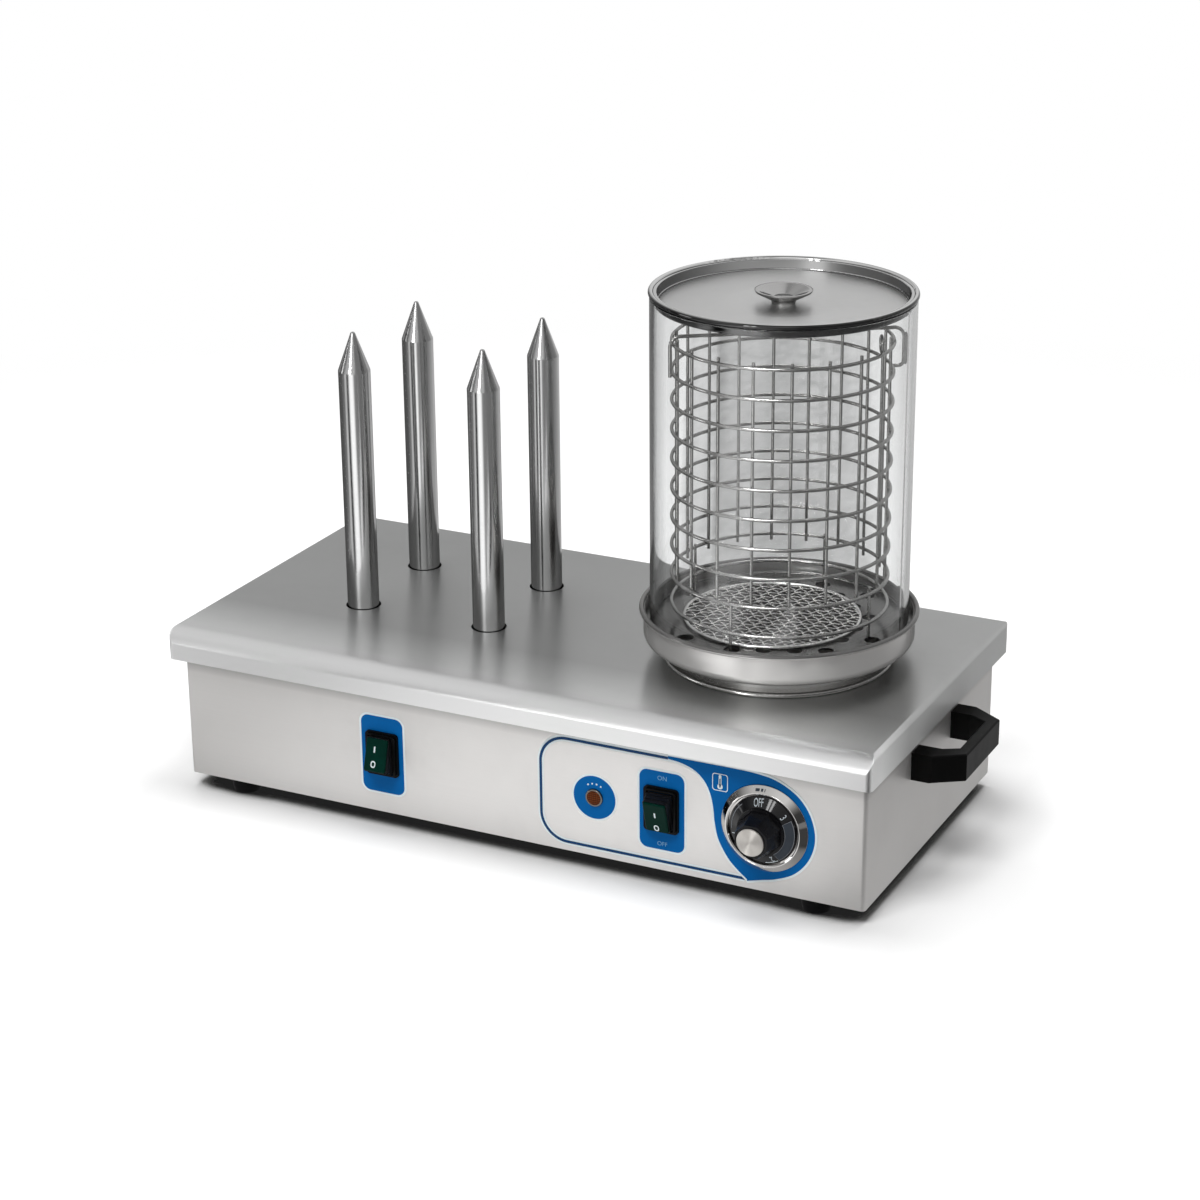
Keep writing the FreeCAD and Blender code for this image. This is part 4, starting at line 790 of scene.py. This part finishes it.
def window_marks(name, x, bar_z, ring_z, level_y, lean, level_z, body):
    """A bar and a ring on a window whose face goes as y = level_y + lean * (z - level_z)."""
    sides = (rounded_sides((x, ring_z), size, size[0] / 2 - ring_flat) for size in (ring_outer, ring_inner))
    around = [np.vstack([left, right[::-1]]) for left, right in sides]
    bar = rounded_sides((x, bar_z), bar_size, bar_corner)
    pieces = (film(name + "_bar", *bar, 1, body, white_ink, base_y=level_y),
              film(name + "_ring", *around, 1, body, white_ink, base_y=level_y, closed=True))
    for piece in pieces:
        reshape(piece, lambda x, y, z: y + lean * (z - level_z))


window_marks("left_window", -102.0, 63.0, 52.8, -129.98, 0.2876, 50.2, "spike_switch")
window_marks("right_window", 116.2, 56.6, 46.0, -125.1, -0.2870, 45.8, "steamer_switch")


# Woven disc in the pan: wires along two ways, crimped over and under each other, inside a border wire

disc_x, disc_y = steamer_x - 4.3, steamer_y - 2.0
weave_pitch, weave_crimp, weave_wire, weave_reach, weave_drop = 6.4, 0.6, 0.6, 61.0, 1.25
weave_margin, weave_turn, points_each = 3.0, np.radians(45.0), 12
border_wire, border_reach, border_points = 1.2, 61.3, 120
wire_sides, border_sides = 6, 10


def woven_disc():
    """Wires with height = crimp * cos(pi * (along / pitch + number + way)), cut at the border's circle."""
    points, faces = [], []

    def add_tube(path, radius, sides, closed=False):
        """Adds the rings round a path, with flat ends unless it is closed."""
        first = sum(len(rows) for rows in points)
        points.append(tube_grid(path, radius, sides, closed).reshape(-1, 3))
        faces.extend(grid_faces(len(path), sides, wrap_rows=closed, wrap_columns=True, first=first))
        if not closed:
            last = first + (len(path) - 1) * sides
            faces.extend([list(range(first, first + sides))[::-1], list(range(last, last + sides))])

    outermost = int((weave_reach - weave_margin) / weave_pitch)
    cos, sin = np.cos(weave_turn), np.sin(weave_turn)
    for way in (0, 1):
        for number in range(-outermost, outermost + 1):
            across = number * weave_pitch
            half = np.sqrt(weave_reach ** 2 - across ** 2)
            along = np.linspace(-half, half, max(int(half / weave_pitch * points_each), points_each))
            height = weave_crimp * np.cos(np.pi * along / weave_pitch) * (-1) ** (number + way)
            level = np.full_like(along, across)
            x, y = (along, level) if way == 0 else (level, along)
            add_tube(np.column_stack([disc_x + x * cos - y * sin, disc_y + x * sin + y * cos,
                                      mesh_top - weave_drop + height]), weave_wire, wire_sides)
    circle = np.linspace(0, 2 * np.pi, border_points, endpoint=False)
    border_z = np.full(border_points, plate_top + border_wire)
    add_tube(np.column_stack([disc_x + border_reach * np.cos(circle), disc_y + border_reach * np.sin(circle),
                              border_z]), border_wire, border_sides, closed=True)
    return np.vstack(points), faces


weave_steel = steel("woven wire", (0.93, 0.925, 0.91), 0.14, all_ways, tone=0.06, rough_tone=0.06, dull=0.06,
                    depth=4e-7, mark_scale=60.0)
weave = finish_mesh("woven_disc", *woven_disc(), "pan", weave_steel, "wire_steel")
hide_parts("mesh_disc")


# Studio values: levels are (place, level) pairs, places in metres or degrees

view_place, view_turn = (0.87324, -1.71919, 0.89319), (68.86, 0.0, 25.11)
spikes_middle = (-0.113, 0.014)
soft_light, soft_grey, seen_white = 0.12, 0.85, 1.05
full_turn = (-180, 180)

floor_zones = [
    (-180, 0.12), (-166, 0.12), (-152, 0.20), (-139, 0.24), (-132, 0.74), (-123, 0.74), (-118, 0.03),
    (-109, 0.03), (-99, 1.5), (-78, 1.5), (-66, 0.34), (-54, 0.24), (-34, 0.23), (-8, 0.20), (10, 0.20),
    (30, 0.32), (60, 0.50), (88, 0.62), (112, 0.25), (135, 0.10)]
front_levels = [
    (-0.45, 0.78), (-0.38, 0.74), (-0.33, 0.43), (-0.19, 0.92), (0.08, 1.16), (0.16, 0.98), (0.21, 0.70),
    (0.27, 0.06)]
depth_gains = [
    (-0.42, 0.86), (-0.366, 0.84), (-0.352, 0.25), (-0.342, 0.25), (-0.322, 0.84), (-0.30, 1.02),
    (-0.16, 1.02), (-0.145, 0.6)]
front_x, front_y, patch_soft = (-0.03, 0.50, 0.08), (-0.26, 0.16, 0.03), 0.03
front_span_x, front_span_y, backing_span = (-0.6, 0.6), (-0.5, 0.0), (105, 120)
floor_patches = [((0.34, 0.08), (0.22, 0.34), 0.46), ((0.32, 0.15), (-0.455, 0.03), 1.3)]

# Painted contact shade on the floor, from ambient occlusion: near under an edge, and wide beside the case's ends.
near_reach, near_open = 0.022, (0.40, 0.68)
wide_reach, wide_darkest, wide_beside = 0.16, 0.86, (0.24, 0.29)
glow_near, glow_reach = 0.015, (0.75, 1.3)

backing_levels = [
    (109.9, 1.0), (110.3, 0.90), (110.7, 0.70), (111.6, 0.56), (113.4, 0.50), (114.4, 0.43), (114.5, 0.68),
    (115.3, 0.72), (115.6, 1.0)]
backing_bearing, backing_y = (112.75, 2.8, 0.15), (1.1, 0.85, 0.1)
speckle_stretch, speckle_scale, speckle_tone = (1, 0.5, 1), 60.0, 0.07

low_ring = [
    (-180, 0.06), (-140, 0.12), (-124, 0.58), (-96, 0.58), (-84, 0.50), (-58, 0.35), (-50, 0.05), (-28, 0.05),
    (20, 0.15), (50, 0.30), (75, 0.55), (90, 0.62), (108, 0.60), (118, 0.58), (126, 0.50), (140, 0.50),
    (165, 0.30)]
high_ring = [
    (-180, 0.58), (-150, 0.61), (-130, 0.64), (-118, 0.62), (-80, 0.78), (-62, 0.80), (-45, 0.35), (0, 0.45),
    (60, 0.62), (100, 0.70), (111, 0.68), (116, 0.56), (122, 0.33), (129, 0.35), (138, 0.56), (168, 0.62)]
second_ring = [
    (-180, 0.15), (-125, 0.20), (-108, 0.50), (-102, 1.3), (-88, 1.3), (-80, 0.70), (-60, 0.60), (-20, 0.50),
    (10, 0.25), (50, 0.12), (95, 0.10), (150, 0.12)]
ring_change, top_change, top_level = (14.0, 36.0), (66.0, 76.0), 0.06
dome_patches = [
    (9.0, (-90.5, 1.5, 0.5), (24, 8, 3)), (9.0, (-97.0, 2.0, 0.5), (24, 8, 3)),
    (5.0, (-155, 5, 3), (5, 5, 3))]
dome_radius, dome_turns, dome_rises, floor_reach = 6.0, 48, 16, 14.0
lamp_target = (0, 0, 0.1)


# Studio: floor, world, lamps, and a dome that only reflections see

def only_rays(tree, *kinds):
    """1 where the ray is of one of the named kinds."""
    path = tree.nodes.new("ShaderNodeLightPath")
    value = path.outputs[f"Is {kinds[0]} Ray"]
    for kind in kinds[1:]:
        value = calc(tree, "MAXIMUM", value, path.outputs[f"Is {kind} Ray"])
    return value


def ray_depth(tree, kind, operation, depth):
    """1 where the ray has left more, or fewer, surfaces of a kind than a depth."""
    path = tree.nodes.new("ShaderNodeLightPath")
    return calc(tree, operation, path.outputs[f"{kind} Depth"], depth)


def window(tree, value, centre, half, soft):
    """1 where value is within half of the centre, falling to 0 over the soft width outside."""
    away = calc(tree, "ABSOLUTE", calc(tree, "SUBTRACT", value, centre))
    return spread(tree, away, 1.0, 0.0, half, half + soft)


def polar(tree, where, middle=(0.0, 0.0)):
    """Azimuth and elevation, in degrees, of the shaded place, seen from the middle."""
    x, y = (calc(tree, "SUBTRACT", where[axis], start) for axis, start in zip("XY", middle))
    azimuth = times(tree, calc(tree, "ARCTAN2", y, x), 180 / np.pi)
    elevation = times(tree, calc(tree, "ARCTAN2", where["Z"], distance(tree, x, y)), 180 / np.pi)
    return azimuth, elevation


def steps_ramp(tree, value, low, high, stops):
    """A grey level that follows the value through stops, as (value, level) pairs."""
    top = 4.0
    ramp = tree.nodes.new("ShaderNodeValToRGB")
    elements = ramp.color_ramp.elements
    while len(elements) < len(stops):
        elements.new(0.5)
    for element, (place, level) in zip(elements, stops):
        element.position = (place - low) / (high - low)
        element.color = (level / top, level / top, level / top, 1)
    tree.links.new(rise(tree, value, low, high), ramp.inputs["Fac"])
    return times(tree, ramp.outputs["Color"], top)


def stage_mesh(name, points, faces, finish):
    """A floor or card of the studio, in metres."""
    mesh = bpy.data.meshes.new(name)
    mesh.from_pydata([tuple(map(float, point)) for point in points], [], faces)
    piece = add_object(name, mesh)
    piece.data.materials.append(finish)
    return piece


def blend_shaders(tree, factor, first, second):
    """Two shaders mixed by a factor."""
    mix = tree.nodes.new("ShaderNodeMixShader")
    for socket, value in zip(mix.inputs, (factor, first, second)):
        tree.links.new(value, socket)
    return mix.outputs[0]


def add_glow(tree, strength):
    """An emission of plain white, its strength a number or a socket."""
    glow = tree.nodes.new("ShaderNodeEmission")
    feed(tree, glow.inputs["Strength"], strength)
    return glow.outputs[0]


def openness(tree, reach):
    """How open a place is, from 0 in a corner to 1 in the clear, as far as reach."""
    node = tree.nodes.new("ShaderNodeAmbientOcclusion")
    node.inputs["Distance"].default_value = reach
    return node.outputs["AO"]


def mirrored_floor(tree, where):
    """The floor's level in mirrors: by azimuth, then the strip before the object and the patches over it."""
    azimuth, _ = polar(tree, where, spikes_middle)
    x, y = where["X"], where["Y"]
    level = steps_ramp(tree, azimuth, *full_turn, floor_zones)
    front = times(tree, window(tree, y, *front_y), window(tree, x, *front_x))
    front_glow = times(tree, steps_ramp(tree, x, *front_span_x, front_levels),
                       steps_ramp(tree, y, *front_span_y, depth_gains))
    level = lay_over(tree, level, front, front_glow)
    for (x_middle, x_half), (y_middle, y_half), patch_level in floor_patches:
        patch = times(tree, window(tree, x, x_middle, x_half, patch_soft),
                      window(tree, y, y_middle, y_half, patch_soft))
        level = lay_over(tree, level, patch, patch_level)
    return level


def seen_floor(tree, where):
    """The floor's tone to the eye: white, with painted shade from ambient occlusion close under an edge and, past
    the case's ends, beside it.
    """
    near = rise(tree, openness(tree, near_reach), *near_open)
    beside = rise(tree, calc(tree, "ABSOLUTE", where["X"]), *wide_beside)
    wide = spread(tree, openness(tree, wide_reach), wide_darkest, 1.0, wide_darkest, 1.0)
    return times(tree, near, seen_white, lay_over(tree, 1.0, beside, wide))


def backing(tree, where):
    """A darker, speckled level for the floor behind the steamer, by bearing from the camera, and its mask."""
    bearing, _ = polar(tree, where, view_place[:2])
    noise = add_noise(tree, piece_vector(tree, speckle_stretch), speckle_scale, detail=4.0)
    speckle = spread(tree, noise, -speckle_tone, speckle_tone, noise_low, noise_high)
    level = calc(tree, "ADD", steps_ramp(tree, bearing, *backing_span, backing_levels), speckle)
    behind = times(tree, window(tree, bearing, *backing_bearing), window(tree, where["Y"], *backing_y))
    return level, behind


def make_floor():
    """A wide floor: pale grey to soft light, white to the eye, darker through glass, zoned to mirrors."""
    finish, tree, shader = new_finish("floor paint")
    tree.nodes.remove(shader)
    where = place_axes(tree)
    seen = only_rays(tree, "Camera", "Transmission")
    matte = tree.nodes.new("ShaderNodeBsdfDiffuse")
    tree.links.new(lay_over(tree, soft_grey, seen, seen_floor(tree, where)), matte.inputs["Color"])
    away = distance(tree, where["X"], where["Y"])
    far = times(tree, spread(tree, away, glow_near, 1.0, *glow_reach), seen)
    surface = blend_shaders(tree, far, matte.outputs[0], add_glow(tree, 1.0))
    level, behind = backing(tree, where)
    through = times(tree, behind, only_rays(tree, "Transmission"))
    surface = blend_shaders(tree, through, surface, add_glow(tree, level))
    in_mirror = times(tree, ray_depth(tree, "Glossy", "GREATER_THAN", 0.5),
                      ray_depth(tree, "Diffuse", "LESS_THAN", 0.5))
    surface = blend_shaders(tree, in_mirror, surface, add_glow(tree, mirrored_floor(tree, where)))
    tree.links.new(surface, tree.nodes["Material Output"].inputs["Surface"])
    finish.cycles.emission_sampling = "NONE"
    corners = [(x * floor_reach, y * floor_reach, 0) for x, y in ((-1, -1), (1, -1), (1, 1), (-1, 1))]
    stage_mesh("floor", corners, [(0, 1, 2, 3)], finish)


def make_world():
    """White where the camera, mirrors and glass look, and a soft grey as a light."""
    world = bpy.data.worlds.new("studio")
    world.use_nodes = True
    bpy.context.scene.world = world
    tree = world.node_tree
    seen = only_rays(tree, "Camera", "Glossy", "Transmission")
    grey = (soft_light, soft_light, soft_light, 1)
    tree.links.new(blend_colours(tree, seen, grey, (1, 1, 1, 1)), tree.nodes["Background"].inputs["Color"])


def make_dome():
    """A dome that only mirrors see: a low and a high ring of levels, a dark top and lamp patches.

    A mirror seen in a mirror takes the second ring, and light that came off a matt surface the soft grey.
    """
    finish, tree, shader = new_finish("mirror dome")
    tree.nodes.remove(shader)
    azimuth, elevation = polar(tree, place_axes(tree))
    low, high, second = (steps_ramp(tree, azimuth, *full_turn, ring)
                         for ring in (low_ring, high_ring, second_ring))
    total = lay_over(tree, low, rise(tree, elevation, *ring_change), high)
    total = lay_over(tree, total, rise(tree, elevation, *top_change), top_level)
    for level, turn, height in dome_patches:
        patch = times(tree, window(tree, azimuth, *turn), window(tree, elevation, *height))
        total = calc(tree, "ADD", total, times(tree, patch, level))
    total = lay_over(tree, total, ray_depth(tree, "Glossy", "GREATER_THAN", 1.5), second)
    total = lay_over(tree, total, ray_depth(tree, "Glossy", "LESS_THAN", 0.5), 1.0)
    total = lay_over(tree, total, ray_depth(tree, "Diffuse", "GREATER_THAN", 0.5), soft_light)
    tree.links.new(add_glow(tree, total), tree.nodes["Material Output"].inputs["Surface"])
    finish.cycles.emission_sampling = "NONE"
    around = np.linspace(0, 2 * np.pi, dome_turns, endpoint=False)
    around, up = np.meshgrid(around, np.linspace(0, np.pi / 2, dome_rises))
    unit = np.stack([np.cos(around) * np.cos(up), np.sin(around) * np.cos(up), np.sin(up)], axis=-1)
    faces = grid_faces(dome_rises, dome_turns, wrap_columns=True)
    dome = stage_mesh("mirror_dome", dome_radius * unit.reshape(-1, 3), faces, finish)
    dome.visible_camera = dome.visible_diffuse = dome.visible_shadow = False


def lamp(name, place, size, power):
    """A soft rectangular lamp that looks at the object and doesn't show in mirrors."""
    light = bpy.data.lights.new(name, "AREA")
    light.shape = "RECTANGLE"
    light.size, light.size_y = size
    light.energy = power
    lamp_object = add_object(name, light)
    lamp_object.location = place
    lamp_object.rotation_euler = (Vector(lamp_target) - Vector(place)).to_track_quat("-Z", "Y").to_euler()
    lamp_object.visible_glossy = False


make_floor()
make_world()
make_dome()
lamp("top_lamp", (-0.02, 0.34, 2.6), size=(2.0, 1.4), power=60)
lamp("key_lamp", (0.0, -1.8, 2.8), size=(1.5, 1.1), power=50)

# Camera at the photograph's place

view = bpy.data.cameras.new("photo_view")
view.sensor_width = 36.0
view.lens = 86.89
view.shift_x = -0.0583
view_object = add_object("photo_view", view)
view_object.location = view_place
view_object.rotation_euler = np.radians(view_turn)
bpy.context.scene.camera = view_object
bpy.context.scene.view_settings.view_transform = "Standard"
